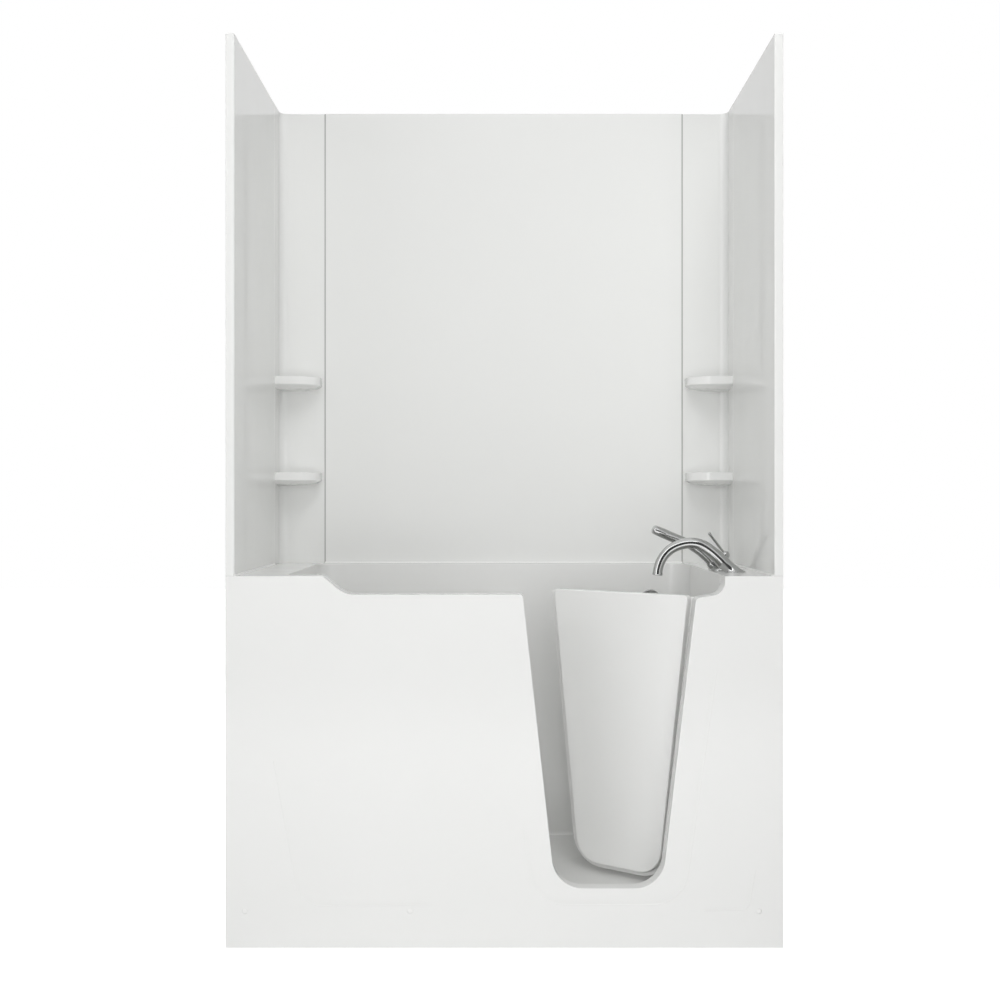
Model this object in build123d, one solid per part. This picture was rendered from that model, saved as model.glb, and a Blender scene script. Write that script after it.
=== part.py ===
from build123d import *
import math
import os

# Walk-in bathtub with air and water jets, an inward-swinging door and a five-piece wall surround.
# All lengths are millimetres. X runs to the right along the apron, Y from the apron to the back wall,
# and Z is up. The origin is on the floor at the centre of the footprint.
# A depth is a distance behind the apron's front face.

# Overall sizes: a tub for a 60 by 30 inch alcove, 40 inches high, and the wall panels on it
TUB_LENGTH = 1524.0
TUB_DEPTH = 762.0
DECK_HEIGHT = 1016.0
SURROUND_HEIGHT = 1484.0

LEFT = -TUB_LENGTH / 2
RIGHT = TUB_LENGTH / 2
FRONT = -TUB_DEPTH / 2
BACK = TUB_DEPTH / 2

# Moulded tub shell
SHELL_WALL = 6.0
EDGE_FLANGE = 30.0
LEFT_DECK = 157.0
RIGHT_DECK = 159.0
BACK_LEDGE = 34.0
RIM_WIDTH = 66.0
WALL_DRAFT = 28.0
BACK_CORNER_R = 80.0
FRONT_CORNER_R = 16.0
FLOOR_HEIGHT = 133.0
FLOOR_EDGE_R = 12.0
SEAT_HEIGHT = 572.0
SEAT_LENGTH = 425.0
SEAT_NOSE_R = 40.0
OVERCUT = 40.0

# Lowered front rim and the doorway in it
RIM_HEIGHT = 965.0
RIM_RIGHT_DIP = 9.5
RIM_RIGHT_RISE = 3.0
RIM_LEFT_END = 265.0
RIM_SLOPE_RUN = 60.5
RIM_LEFT_R = 78.0
RIM_RIGHT_R = 38.0
RIM_TOP_R = 10.0
DOORWAY_WIDTH = 475.3
DOORWAY_FROM_RIGHT = 236.8
DOORWAY_LEFT_SLOPE = 0.1104
DOORWAY_RIGHT_SLOPE = 0.118
DOORWAY_CORNER_R = 85.0
DOORWAY_TOP_LEFT_R = 8.0
DOORWAY_TOP_RIGHT_R = 14.0
SILL_HEIGHT = 163.0
SILL_LIP_DEPTH = 30.0
SILL_STEP = 7.0

# Front apron
APRON_THICK = 6.0
GROOVE_DEPTH = 1.2
GROOVE_WIDTH = 9.0
LEFT_GROOVE = [(135.0, 511.0), (206.0, 121.0), (562.0, 120.0)]
LEFT_GROOVE_R = 70.0
RIGHT_GROOVE = [(217.0, 104.0), (97.0, 108.0), (80.0, 213.0)]
RIGHT_GROOVE_R = 26.0
DOORWAY_GROOVE_DROP = 39.0
DOORWAY_GROOVE_GAPS = [66.0, 61.0, 62.0, 76.0]
DOORWAY_GROOVE_TOPS = [340.0, 760.0]
DOORWAY_GROOVE_R = 95.0
SCREW_HEIGHT = 101.0
SCREWS_FROM_LEFT = [53.0, 504.0]
SCREW_FROM_RIGHT = 66.5
SCREW_PLACES = [LEFT + SCREWS_FROM_LEFT[0], LEFT + SCREWS_FROM_LEFT[1], RIGHT - SCREW_FROM_RIGHT]
SCREW_R = 2.5
SCREW_HEAD_R = 5.0
SCREW_HEAD_THICK = 1.5
SCREW_LENGTH = 26.0
CAP_R = 7.0
CAP_THICK = 1.5
CAP_RECESS = 3.0
CAP_GAP = 0.4

# Door, drawn closed and then turned to its half-open rest position
DOOR_FACE_DEPTH = 50.0
DOOR_BACK_DEPTH = 72.0
DOOR_SKIN = 4.0
DOOR_INNER_THICK = 6.0
DOOR_TOP = 958.0
DOOR_BOTTOM = 158.5
DOOR_LATCH_GAP = 9.0
DOOR_HINGE_GAP = 5.0
DOOR_CORNER_R = 76.0
DOOR_TOP_R = 12.0
DOOR_EDGE_R = 3.5
DOOR_OVERLAP = 12.0
INNER_SKIN_TOP = 953.0
DOOR_FRAME_WIDTH = 24.0
DOOR_FRAME_GAP = 0.3
SEAL_TOP = 950.0
SEAL_GAP = 0.4
SEAL_WIDTH = 10.0
SEAL_INSET = 1.0
HINGE_FROM_RIGHT = 214.0
HINGE_DEPTH = 74.0
DOOR_REST_ANGLE = 38.0
HINGE_HEIGHTS = [380.0, 850.0]
HINGE_X = RIGHT - HINGE_FROM_RIGHT
HINGE_Y = FRONT + HINGE_DEPTH

# Hinges
KNUCKLE_R = 7.5
PIN_R = 3.5
PIN_GAP = 0.05
PIN_HEAD_R = 5.5
PIN_HEAD_THICK = 3.0
HINGE_TALL = 60.0
KNUCKLE_GAP = 0.3
LEAF_THICK = 3.0
FIXED_LEAF_WIDTH = 16.0
DOOR_LEAF_REACH = 34.0

# Latch
LATCH_HEIGHT = 800.0
LATCH_INSET = 62.0
LATCH_BOX = (46.0, 12.0, 120.0)
LATCH_SPINDLE_R = 6.0
LATCH_LEVER_LENGTH = 105.0
LATCH_HEAD_HALF = 13.0
LATCH_HEAD_RISE = 14.0
LATCH_HEAD_R = 12.0
LATCH_TIP_HALF = 9.0
LATCH_TIP_R = 8.0
LATCH_STAND_OFF = 6.0
LATCH_LEVER_THICK = 9.0
BOLT_WIDTH = 14.0
BOLT_THICK = 6.0
BOLT_TRAVEL = 14.0
BOLT_GAP = 0.5
KEEPER_WALL = 4.0
KEEPER_SHIFT = 16.0

# Surround
END_PANEL_THICK = 24.0
CORNER_SHEET = 4.0
BACK_PANEL_THICK = 8.0
BACK_PANEL_HALF = 590.0
PANEL_LAP = 30.0
PANEL_GAP = 0.3
CORNER_LEG_FROM_BACK = 123.0
CORNER_LEG_DEPTH = TUB_DEPTH - CORNER_LEG_FROM_BACK
COVE_R = 30.0
PANEL_EDGE_R = 5.0
SHELF_TOPS = [DECK_HEIGHT + 297.0, DECK_HEIGHT + 608.0]
SHELF_THICK = 25.0
SHELF_ALONG_BACK = 138.0
SHELF_ALONG_END = 112.0
SHELF_BELLY_STEPS = [(0.0, 1.0), (9.0, 0.9), (15.0, 0.62)]
SHELF_NOSE_R = 38.4
SHELF_FRONT_R = 120.0
SHELF_FRONT_SHARE = 0.55
SHELF_FRONT_DROP = 6.0
SHELF_RIB = 2.0
SHELF_RIB_WIDTH = 5.0
SHELF_RIB_LENGTHS = [46.0, 62.0, 62.0, 46.0]
SHELF_RIB_START = 37.4
SHELF_RIB_PITCH = 17.0
SHELF_RIB_SKEW = 0.82
SHELF_RIB_TURN = 40.0
SEALANT = 5.0

# Base frame of square tube, and its feet
TUBE = 30.0
RAIL_BOTTOM = 86.0
FRAME_INSET = 12.0
BACK_RAIL_FROM_BACK = 72.0
BACK_RAIL_DEPTH = TUB_DEPTH - BACK_RAIL_FROM_BACK
SEAT_BEARERS_FROM_LEFT = [260.0, 505.0]
FLOOR_BEARER_FROM_LEFT = 640.0
FLOOR_BEARERS_FROM_RIGHT = [540.0, 215.0]
SEAT_POST_FROM_FRONT = 110.0
SEAT_POST_FROM_BACK = 142.0
DECK_POST_FROM_FRONT = 44.0
DECK_POST_FROM_BACK = 107.0
FEET_FROM_LEFT = [60.0, 700.0]
FOOT_FROM_RIGHT = 60.0
PAD_R = 14.0
PAD_THICK = 12.0
PAD_EDGE_R = 3.0
STUD_R = 6.0
NUT_THICK = 8.0
NUT_R = 11.0
THREAD_GAP = 0.05

# Waste, overflow and stopper
WASTE_FROM_RIGHT = 281.0
DRAIN_FROM_BACK = 160.0
DRAIN_FLANGE_R = 34.0
DRAIN_FLANGE_THICK = 3.0
DRAIN_TAIL_R = 20.0
DRAIN_TAIL_END = 40.0
SPIGOT_R = 18.5
SPIGOT_LENGTH = 14.0
DRAIN_BORE_R = 16.5
DRAIN_NUT_R = 30.0
DRAIN_NUT_THICK = 10.0
FIT_GAP = 0.3
STOPPER_R = 24.0
STOPPER_THICK = 5.0
STOPPER_EDGE_R = 3.0
STOPPER_STEM_R = 4.0
STOPPER_LIFT = 8.0
STEM_GUIDE_DROP = 26.0
STEM_GUIDE_TALL = 6.0
STEM_GUIDE_WALL = 3.0
PIPE_WALL = 2.0
WASTE_PIPE_R = 11.0
WASTE_PIPE_FROM_BACK = 15.0
WASTE_NECK_R = 9.0
WASTE_BEND_R = 26.0
WASTE_RUN_HEIGHT = 66.0
OVERFLOW_HEIGHT = 897.0
OVERFLOW_R = 34.0
OVERFLOW_THICK = 5.0
OVERFLOW_NECK_R = 12.0
KNOB_R = 17.0
KNOB_TALL = 14.0
SPINDLE_R = 4.0

# Water jets: lumbar jets over the seat, back jets, and foot jets
LUMBAR_SPREAD = 100.0
LUMBAR_DEPTHS = [TUB_DEPTH / 2 - LUMBAR_SPREAD, TUB_DEPTH / 2 + LUMBAR_SPREAD]
LUMBAR_HEIGHT = 760.0
BACK_JETS_FROM_RIGHT = [318.0, 436.0]
BACK_JET_HEIGHT = 500.0
FOOT_JET_SPREAD = 90.0
FOOT_JET_DEPTHS = [TUB_DEPTH / 2 - FOOT_JET_SPREAD, TUB_DEPTH / 2 + FOOT_JET_SPREAD]
FOOT_JET_HEIGHT = 300.0
JET_BODY_R = 20.0
JET_BODY_LENGTH = 28.0
JET_FLANGE_R = 27.0
JET_FLANGE_THICK = 5.0
JET_BORE_R = 15.0
JET_RING_R = 32.0
JET_RING_THICK = 5.0
JET_NOZZLE_R = 14.4
JET_NOZZLE_DEEP = 12.0
JET_NOZZLE_PROUD = 7.0
JET_OUTLET_R = 5.0
JET_OUTLET_OFFSET = 4.0
HEADER_R = 10.0
HEADER_GAP = 2.0
BRANCH_R = 6.0
BRANCH_GAP = 0.3
BACK_HEADER_FROM_BACK = 38.0
BACK_HEADER_HEIGHT = 200.0
BACK_BRANCH_FROM_BACK = 29.0
HEADER_END = 10.0
HEADER_RISE = 40.0

# Pump under the seat
PUMP_FROM_LEFT = 300.0
PUMP_X = LEFT + PUMP_FROM_LEFT
PUMP_DEPTH = TUB_DEPTH / 2 - 16.0
PUMP_HEIGHT = 205.0
MOTOR_R = 55.0
MOTOR_LENGTH = 150.0
MOTOR_WALL = 5.0
MOTOR_RIBS = 7
MOTOR_RIB_PITCH = 18.0
MOTOR_RIB_WIDTH = 5.0
MOTOR_RIB_TALL = 4.0
ROTOR_ROOM = 6.0
GLAND_R = 9.0
GLAND_BORE_R = 4.0
GLAND_LENGTH = 16.0
ROTOR_R = 32.0
ROTOR_LENGTH = 95.0
PUMP_SHAFT_R = 7.0
BEARING_GAP = 0.05
VOLUTE_R = 66.0
VOLUTE_LENGTH = 48.0
VOLUTE_WALL = 6.0
INLET_NECK = 22.0
OUTLET_NECK = 24.0
OUTLET_WALL = 4.0
IMPELLER_R = 46.0
IMPELLER_THICK = 14.0
IMPELLER_PLATE = 4.0
IMPELLER_VANES = 6
VANE_THICK = 3.0
PORT_R = 19.0
SUCTION_R = 45.0
SUCTION_THICK = 8.0
SUCTION_NECK = 20.0
SUCTION_HOLE_R = 2.6
SUCTION_HOLE_RINGS = [(9.0, 6), (24.0, 12), (35.0, 16)]
PUMP_BASE_THICK = 6.0
PUMP_BASE_HALF = 70.0
SADDLE_HALF = 40.0
SADDLE_THICK = 8.0
SADDLE_INSET = 5.0
SADDLE_DROP = 20.0

# Seat-side controls on the front wall, inside the well
CONTROL_HEIGHT = 900.0
BUTTON_FROM_LEFT = 432.0
AIR_KNOB_FROM_LEFT = 502.0
CONTROL_FLANGE_R = 24.0
CONTROL_FLANGE_THICK = 3.0
CONTROL_BARREL_R = 16.0
CONTROL_BARREL_LENGTH = 34.0
BUTTON_R = 12.0
BUTTON_PROUD = 4.0
BUTTON_DEEP = 7.0
BUTTON_TRAVEL = 3.0
BUTTON_EDGE_R = 2.0
AIR_KNOB_R = 17.0
AIR_KNOB_TALL = 12.0

# Deck-mounted tap set on the right deck
SPOUT_FROM_RIGHT = 98.0
SPOUT_DEPTH = 190.0
SPOUT_BENDS = [(16.0, 14.0), (58.0, 54.0), (138.0, 85.0), (190.0, 65.0), (222.0, -8.0)]
SPOUT_LEAVES = (-0.75, 0, 0.66)
SPOUT_ENDS = (-0.05, 0, -1)
SPOUT_SECTIONS = 9
SPOUT_TIP_R = 14.5
SPOUT_ROOT_R = 18.0
SPOUT_OUTLET_WALL = 3.0
SPOUT_OUTLET_DEEP = 14.0
SPOUT_FOOT = [(31.0, 0.0), (31.0, 3.0), (26.0, 8.0), (22.5, 16.0), (19.5, 26.0), (14.5, 30.0)]
SHANK_R = 10.0
SHANK_END = DECK_HEIGHT - 36.0
SHANK_HOLE_GAP = 0.3
TAP_NUT_R = 16.5
TAP_NUT_THICK = 8.0
HOLDER_FROM_RIGHT = 129.0
HOLDER_DEPTH = 270.0
HOLDER_BASE_R = 22.0
HOLDER_BASE_TALL = 7.0
HOLDER_EDGE_R = 3.0
HOLDER_CUP_R = 16.0
HOLDER_CUP_START = 14.0
HOLDER_CUP_LENGTH = 24.0
HANDLE_GAP = 0.3
HOLDER_TILT = 45.0
WAND_R = 12.0
WAND_TAIL = 30.0
WAND_BENDS = [(93.0, 81.0), (143.0, 100.5), (198.0, 123.5)]
WAND_LEAVES = (-1, 0, 1)
WAND_ENDS = (-1, 0, 0.43)
WAND_SECTIONS = [
    (12.0, 12.0), (12.5, 12.0), (13.5, 13.0), (17.0, 14.0), (22.0, 14.5), (24.0, 14.5), (23.5, 14.0),
    (18.0, 11.0)]
DIVERTER_FROM_RIGHT = 130.0
DIVERTER_DEPTH = 372.0
DIVERTER_R = 16.0
DIVERTER_TALL = 12.0
DIVERTER_EDGE_R = 4.0
DIVERTER_KNOB_R = 10.0
DIVERTER_KNOB_TALL = 12.0
DIVERTER_LIFT = 8.0
MIXER_FROM_RIGHT = 77.5
MIXER_DEPTH = 470.0
MIXER_BELL = [(28.0, 0.0), (28.0, 3.0), (23.0, 9.0), (17.0, 15.0), (13.0, 21.0), (12.0, 26.0)]
MIXER_TALL = MIXER_BELL[-1][1]
INLET_SPREAD = 20.0
INLET_R = 7.5
INLET_SPIGOT_R = 6.0
INLET_SPIGOT = 30.0
INLET_ARM_R = 5.0
INLET_END = DECK_HEIGHT - 76.0
MIXER_HUB_R = 13.0
LEVER_PIN_R = 2.5
LEVER_PIN_HALF = 9.0
LEVER_SLOT_GAP = 0.6
LEVER_SLOT_LONG = 29.0
LEVER_SLOT_TALL = 24.0
LEVER_SLOT_SHIFT = (-8.5, 7.0)
LEVER_R = 4.0
LEVER_LENGTH = 82.0
LEVER_TILT = 37.0
SUPPLY_R = 8.0
SUPPLY_FITTING_R = 9.5
SUPPLY_DROP = 20.0


def slab(face, near, far):
    """Solid between two depths from an outline drawn on the X-Z plane."""
    placed = Pos(0, FRONT + near, 0) * (Plane.XZ * face)
    return extrude(placed, amount=far - near, dir=(0, 1, 0))


def block(low, high):
    """Box between two corners."""
    size = [high[i] - low[i] for i in range(3)]
    return Pos(*low) * Box(*size, align=(Align.MIN, Align.MIN, Align.MIN))


def outline(corners):
    """Closed face through corners given as (x, y, corner radius)."""
    points = [(x, y) for x, y, radius in corners]
    radii = [radius for x, y, radius in corners]
    return make_face(FilletPolyline(*points, radius=radii, close=True))


def rod(start, end, radius):
    """Round bar from one point to another."""
    axis = Vector(*end) - Vector(*start)
    place = Plane(origin=start, z_dir=axis)
    bottom = (Align.CENTER, Align.CENTER, Align.MIN)
    return place.location * Cylinder(radius, axis.length, align=bottom)


def disc(radius, low, high):
    """Round bar on the local Z axis between two heights."""
    return rod((0, 0, low), (0, 0, high), radius)


def hexagon(radius, low, high):
    """Nut blank on the local Z axis."""
    return extrude(Pos(0, 0, low) * RegularPolygon(radius, 6), amount=high - low)


def pipe_core(points, radius):
    """Solid round pipe: straight runs between points, joined by balls at the bends."""
    core = rod(points[0], points[1], radius)
    for start, end in zip(points[1:], points[2:]):
        core += Pos(*start) * Sphere(radius)
        core += rod(start, end, radius)
    return core


def revolved(profile):
    """Turned piece on the local Z axis from (radius, height) corners."""
    return revolve(Plane.XZ * make_face(Polyline(*profile, close=True)), Axis.Z)


# Doorway and lowered rim

def doorway_left(height):
    """X of the doorway's left side at a height."""
    top = RIGHT - DOORWAY_FROM_RIGHT - DOORWAY_WIDTH
    return top + DOORWAY_LEFT_SLOPE * (RIM_HEIGHT - height)


def doorway_right(height):
    """X of the doorway's right side at a height."""
    return RIGHT - DOORWAY_FROM_RIGHT - DOORWAY_RIGHT_SLOPE * (RIM_HEIGHT - height)


def front_void(sill):
    """Open outline over the lowered rim and down through the doorway."""
    above = DECK_HEIGHT + OVERCUT
    rim_left = LEFT + RIM_LEFT_END
    well_right = RIGHT - RIGHT_DECK
    right_low = RIM_HEIGHT - RIM_RIGHT_DIP
    right_high = RIM_HEIGHT + RIM_RIGHT_RISE
    return outline([
        (rim_left, above, 0),
        (rim_left, DECK_HEIGHT, RIM_TOP_R),
        (rim_left + RIM_SLOPE_RUN, RIM_HEIGHT, RIM_LEFT_R),
        (doorway_left(RIM_HEIGHT), RIM_HEIGHT, DOORWAY_TOP_LEFT_R),
        (doorway_left(sill), sill, DOORWAY_CORNER_R),
        (doorway_right(sill), sill, DOORWAY_CORNER_R),
        (doorway_right(right_low), right_low, DOORWAY_TOP_RIGHT_R),
        (well_right, right_high, RIM_RIGHT_R),
        (well_right, above, 0),
    ])


def door_outline(latch_gap, hinge_gap, bottom, top, corner_r, top_r):
    """Wedge outline of a door piece inside the doorway; a negative gap overlaps the wall."""
    return outline([
        (doorway_left(top) + latch_gap, top, top_r),
        (doorway_left(bottom) + latch_gap, bottom, corner_r),
        (doorway_right(bottom) - hinge_gap, bottom, corner_r),
        (doorway_right(top) - hinge_gap, top, top_r),
    ])


# Tub shell

def seat_block(grow):
    """Space under the moulded seat, from the left end to the rounded seat nose."""
    nose = LEFT + LEFT_DECK + SEAT_LENGTH - grow
    top = SEAT_HEIGHT - grow
    profile = outline([
        (LEFT, 0, 0),
        (nose, 0, 0),
        (nose, top, SEAT_NOSE_R - grow),
        (LEFT, top, 0),
    ])
    return slab(profile, 0, TUB_DEPTH)


def well_space(grow):
    """Room inside the well; grown by the shell's wall it is the well's outside."""
    floor_z = FLOOR_HEIGHT - grow
    lean = lean_at(floor_z)
    left = LEFT + LEFT_DECK - grow
    right = RIGHT - RIGHT_DECK + grow
    front = FRONT + RIM_WIDTH - grow
    back = BACK - BACK_LEDGE + grow
    across = Polyline(
        (left, DECK_HEIGHT), (left + lean, floor_z),
        (right - lean, floor_z), (right, DECK_HEIGHT), close=True)
    through = Polyline(
        (front, DECK_HEIGHT), (front, floor_z),
        (back - lean, floor_z), (back, DECK_HEIGHT), close=True)
    room = slab(make_face(across), 0, TUB_DEPTH)
    room &= extrude(Plane.YZ * make_face(through), amount=RIGHT, both=True)
    room = fillet(well_uprights(room)[2:], BACK_CORNER_R + grow)
    room = fillet(well_uprights(room)[:2], FRONT_CORNER_R + grow)
    bottom = room.faces().sort_by(Axis.Z)[0]
    room = fillet(bottom.edges(), FLOOR_EDGE_R + grow)
    return room - seat_block(grow)


def well_uprights(room):
    """Upright edges of the well, from the front to the back."""
    return room.edges().filter_by_position(Axis.Z, SEAT_HEIGHT / 2, DECK_HEIGHT - 1).sort_by(Axis.Y)


def shell_openings():
    """Room in the well, over the lowered rim and through the doorway."""
    room = well_space(0)
    mouth = extrude(room.faces().sort_by(Axis.Z)[-1], amount=OVERCUT)
    lip = slab(front_void(SILL_HEIGHT), -OVERCUT, SILL_LIP_DEPTH)
    rebate = slab(front_void(SILL_HEIGHT - SILL_STEP), SILL_LIP_DEPTH, RIM_WIDTH + FRONT_CORNER_R)
    return [room, mouth, lip, rebate]


def hidden_skin():
    """Skin behind the apron: jamb and rim walls, and the flange that the apron lies on."""
    void = front_void(SILL_HEIGHT - SILL_STEP)
    jamb = slab(offset(void, amount=SHELL_WALL), APRON_THICK, RIM_WIDTH)
    flange = slab(offset(void, amount=EDGE_FLANGE), APRON_THICK, APRON_THICK + SHELL_WALL)
    below_deck = block((LEFT, FRONT, 0), (RIGHT, BACK, DECK_HEIGHT))
    return (jamb + flange) & below_deck


def fitting_holes():
    """Holes in the shell for the waste, the jets, the taps and the controls."""
    x_drain, y_drain = drain_place()
    holes = [Pos(x_drain, y_drain, FLOOR_HEIGHT) * disc(DRAIN_TAIL_R + FIT_GAP, -OVERCUT, OVERCUT)]
    holes.append(overflow_place() * disc(OVERFLOW_NECK_R + FIT_GAP, -OVERCUT / 2, OVERCUT / 2))
    for place in jet_places():
        holes.append(place * disc(JET_BODY_R + FIT_GAP, -OVERCUT / 2, OVERCUT / 2))
    holes.append(suction_place() * disc(PORT_R + PIPE_WALL + FIT_GAP, -OVERCUT / 2, OVERCUT / 2))
    for x, y in tap_places():
        holes.append(Pos(x, y, DECK_HEIGHT) * disc(SHANK_R + SHANK_HOLE_GAP, -OVERCUT / 2, OVERCUT / 2))
    for place in control_places():
        holes.append(place * disc(CONTROL_BARREL_R + FIT_GAP, -SHELL_WALL - 2, 2))
    return holes


def tub_shell():
    deck = block((LEFT, FRONT + APRON_THICK, DECK_HEIGHT - EDGE_FLANGE), (RIGHT, BACK, DECK_HEIGHT))
    inside_low = (LEFT + SHELL_WALL, FRONT + APRON_THICK + SHELL_WALL, DECK_HEIGHT - EDGE_FLANGE)
    inside_high = (RIGHT - SHELL_WALL, BACK - SHELL_WALL, DECK_HEIGHT - SHELL_WALL)
    shell = deck - block(inside_low, inside_high)
    shell += hidden_skin()
    shell += well_space(SHELL_WALL)
    for opening in shell_openings():
        shell -= opening
    return shell - fitting_holes()


# Front apron and its screws

def apron_grooves():
    """Shallow moulded lines: two corner sweeps and one round the doorway."""
    left_sweep = FilletPolyline(*[(LEFT + x, z) for x, z in LEFT_GROOVE], radius=[LEFT_GROOVE_R])
    right_sweep = FilletPolyline(*[(RIGHT - x, z) for x, z in RIGHT_GROOVE], radius=[RIGHT_GROOVE_R])
    low = SILL_HEIGHT - DOORWAY_GROOVE_DROP
    left_top, right_top = DOORWAY_GROOVE_TOPS
    gaps = DOORWAY_GROOVE_GAPS
    around = FilletPolyline(
        (doorway_left(left_top) - gaps[0], left_top),
        (doorway_left(low) - gaps[1], low),
        (doorway_right(low) + gaps[2], low),
        (doorway_right(right_top) + gaps[3], right_top),
        radius=[DOORWAY_GROOVE_R, DOORWAY_GROOVE_R])
    grooves = []
    for line in (left_sweep, around, right_sweep):
        band = trace(line, GROOVE_WIDTH)
        grooves.append(slab(band, -GROOVE_DEPTH, GROOVE_DEPTH))
    return grooves


def front_apron():
    sheet = block((LEFT, FRONT, 0), (RIGHT, FRONT + APRON_THICK, DECK_HEIGHT))
    sheet -= slab(front_void(SILL_HEIGHT), -OVERCUT, OVERCUT)
    for groove in apron_grooves():
        sheet -= groove
    for x in SCREW_PLACES:
        place = screw_place(x)
        sheet -= place * disc(CAP_R + CAP_GAP, -CAP_RECESS, OVERCUT)
        sheet -= place * disc(SCREW_R + THREAD_GAP, -OVERCUT, OVERCUT)
    return sheet


def screw_place(x):
    """On the apron's face, with local Z pointing out of the tub."""
    return Plane(origin=(x, FRONT, SCREW_HEIGHT), x_dir=(1, 0, 0), z_dir=(0, -1, 0)).location


def apron_screw(x):
    head = disc(SCREW_HEAD_R, -CAP_RECESS, SCREW_HEAD_THICK - CAP_RECESS)
    shank = disc(SCREW_R, -CAP_RECESS - SCREW_LENGTH, -CAP_RECESS)
    return screw_place(x) * (head + shank)


def apron_cap(x):
    top = SCREW_HEAD_THICK - CAP_RECESS + CAP_THICK
    cap = disc(CAP_R, SCREW_HEAD_THICK - CAP_RECESS, top)
    cap = fillet(cap.edges().sort_by(Axis.Z)[-1:], CAP_THICK * 0.6)
    return screw_place(x) * cap


# Door

def swing_open(shape):
    """Turn a door piece, drawn closed, about the hinge axis to the rest position."""
    turn = Pos(HINGE_X, HINGE_Y, 0) * Rot(0, 0, -DOOR_REST_ANGLE) * Pos(-HINGE_X, -HINGE_Y, 0)
    return turn * shape


def door_outer_skin():
    """Moulded pan: the face of the door and its turned-back edges."""
    face = door_outline(DOOR_LATCH_GAP, DOOR_HINGE_GAP, DOOR_BOTTOM, DOOR_TOP, DOOR_CORNER_R, DOOR_TOP_R)
    pan = slab(face, DOOR_FACE_DEPTH, DOOR_BACK_DEPTH)
    front_face = pan.faces().sort_by(Axis.Y)[0]
    pan = fillet(front_face.edges(), DOOR_EDGE_R)
    inside = slab(offset(face, amount=-DOOR_SKIN), DOOR_FACE_DEPTH + DOOR_SKIN, DOOR_BACK_DEPTH)
    return pan - inside


def door_frame():
    """Stiffening ring with two cross bars between the door's skins."""
    face = door_outline(DOOR_LATCH_GAP, DOOR_HINGE_GAP, DOOR_BOTTOM, DOOR_TOP, DOOR_CORNER_R, DOOR_TOP_R)
    outer = offset(face, amount=-DOOR_SKIN - DOOR_FRAME_GAP)
    inner = offset(face, amount=-DOOR_SKIN - DOOR_FRAME_GAP - DOOR_FRAME_WIDTH)
    near = DOOR_FACE_DEPTH + DOOR_SKIN
    full = slab(outer, near, DOOR_BACK_DEPTH)
    frame = full - slab(inner, near, DOOR_BACK_DEPTH)
    for height in HINGE_HEIGHTS:
        low = (LEFT, FRONT + near, height - TUBE / 2)
        bar = block(low, (RIGHT, FRONT + DOOR_BACK_DEPTH, height + TUBE / 2))
        frame += bar & full
    return frame


def inner_bottom(overlap):
    """Lowest height of a piece that overlaps the shell below the sill's rebate."""
    return SILL_HEIGHT - SILL_STEP - overlap


def door_inner_skin():
    """Flat inner skin whose margin overlaps the shell round the doorway."""
    face = door_outline(-DOOR_OVERLAP, -DOOR_OVERLAP, inner_bottom(DOOR_OVERLAP), INNER_SKIN_TOP,
                        DOORWAY_CORNER_R + DOOR_OVERLAP, DOOR_TOP_R)
    return slab(face, DOOR_BACK_DEPTH, DOOR_BACK_DEPTH + DOOR_INNER_THICK)


def door_seal():
    """Flat U-shaped rubber seal on the margin of the inner skin."""
    reach = SEAL_INSET + SEAL_WIDTH
    outer = door_outline(-reach, -reach, inner_bottom(reach), SEAL_TOP, DOORWAY_CORNER_R + reach, 0)
    inner = door_outline(-SEAL_INSET, -SEAL_INSET, inner_bottom(SEAL_INSET), SEAL_TOP + OVERCUT,
                         DOORWAY_CORNER_R + SEAL_INSET, 0)
    near = RIM_WIDTH + SEAL_GAP
    return slab(outer, near, DOOR_BACK_DEPTH) - slab(inner, near - 1, DOOR_BACK_DEPTH + 1)


def hinge_axis_bar(height, low, high, radius):
    """Round bar on the hinge axis, measured from the hinge's middle."""
    return Pos(HINGE_X, HINGE_Y, height) * disc(radius, low, high)


def fixed_hinge_leaf(height):
    """Leaf on the shell, with the upper and lower knuckles."""
    half = HINGE_TALL / 2
    third = HINGE_TALL / 6
    wall = FRONT + RIM_WIDTH
    far = (HINGE_X + FIXED_LEAF_WIDTH, wall + LEAF_THICK, height + half)
    leaf = block((HINGE_X, wall, height - half), far)
    leaf += hinge_axis_bar(height, -half, half, KNUCKLE_R)
    middle = KNUCKLE_R + KNUCKLE_GAP
    leaf -= hinge_axis_bar(height, -third - KNUCKLE_GAP / 2, third + KNUCKLE_GAP / 2, middle)
    return leaf - hinge_axis_bar(height, -half - 1, half + 1, PIN_R + PIN_GAP)


def door_hinge_leaf(height):
    """Leaf on the door's inner face, with the middle knuckle, drawn closed."""
    half = HINGE_TALL / 2
    third = HINGE_TALL / 6 - KNUCKLE_GAP / 2
    near = FRONT + DOOR_BACK_DEPTH + DOOR_INNER_THICK
    left = doorway_right(height) - DOOR_LEAF_REACH
    right = HINGE_X - KNUCKLE_R - 1.5
    leaf = block((left, near, height - half), (right, near + LEAF_THICK, height + half))
    leaf += block((left, near, height - third), (HINGE_X, near + LEAF_THICK, height + third))
    leaf += hinge_axis_bar(height, -third, third, KNUCKLE_R)
    return leaf - hinge_axis_bar(height, -half, half, PIN_R + PIN_GAP)


def hinge_pin(height):
    half = HINGE_TALL / 2
    shaft = hinge_axis_bar(height, -half, half, PIN_R)
    return shaft + hinge_axis_bar(height, half, half + PIN_HEAD_THICK, PIN_HEAD_R)


# Latch: a lever on the door's inner face drives a sliding bolt into a keeper on the shell

def latch_x():
    """X of the latch spindle on the closed door."""
    return doorway_left(LATCH_HEIGHT) + LATCH_INSET


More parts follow.
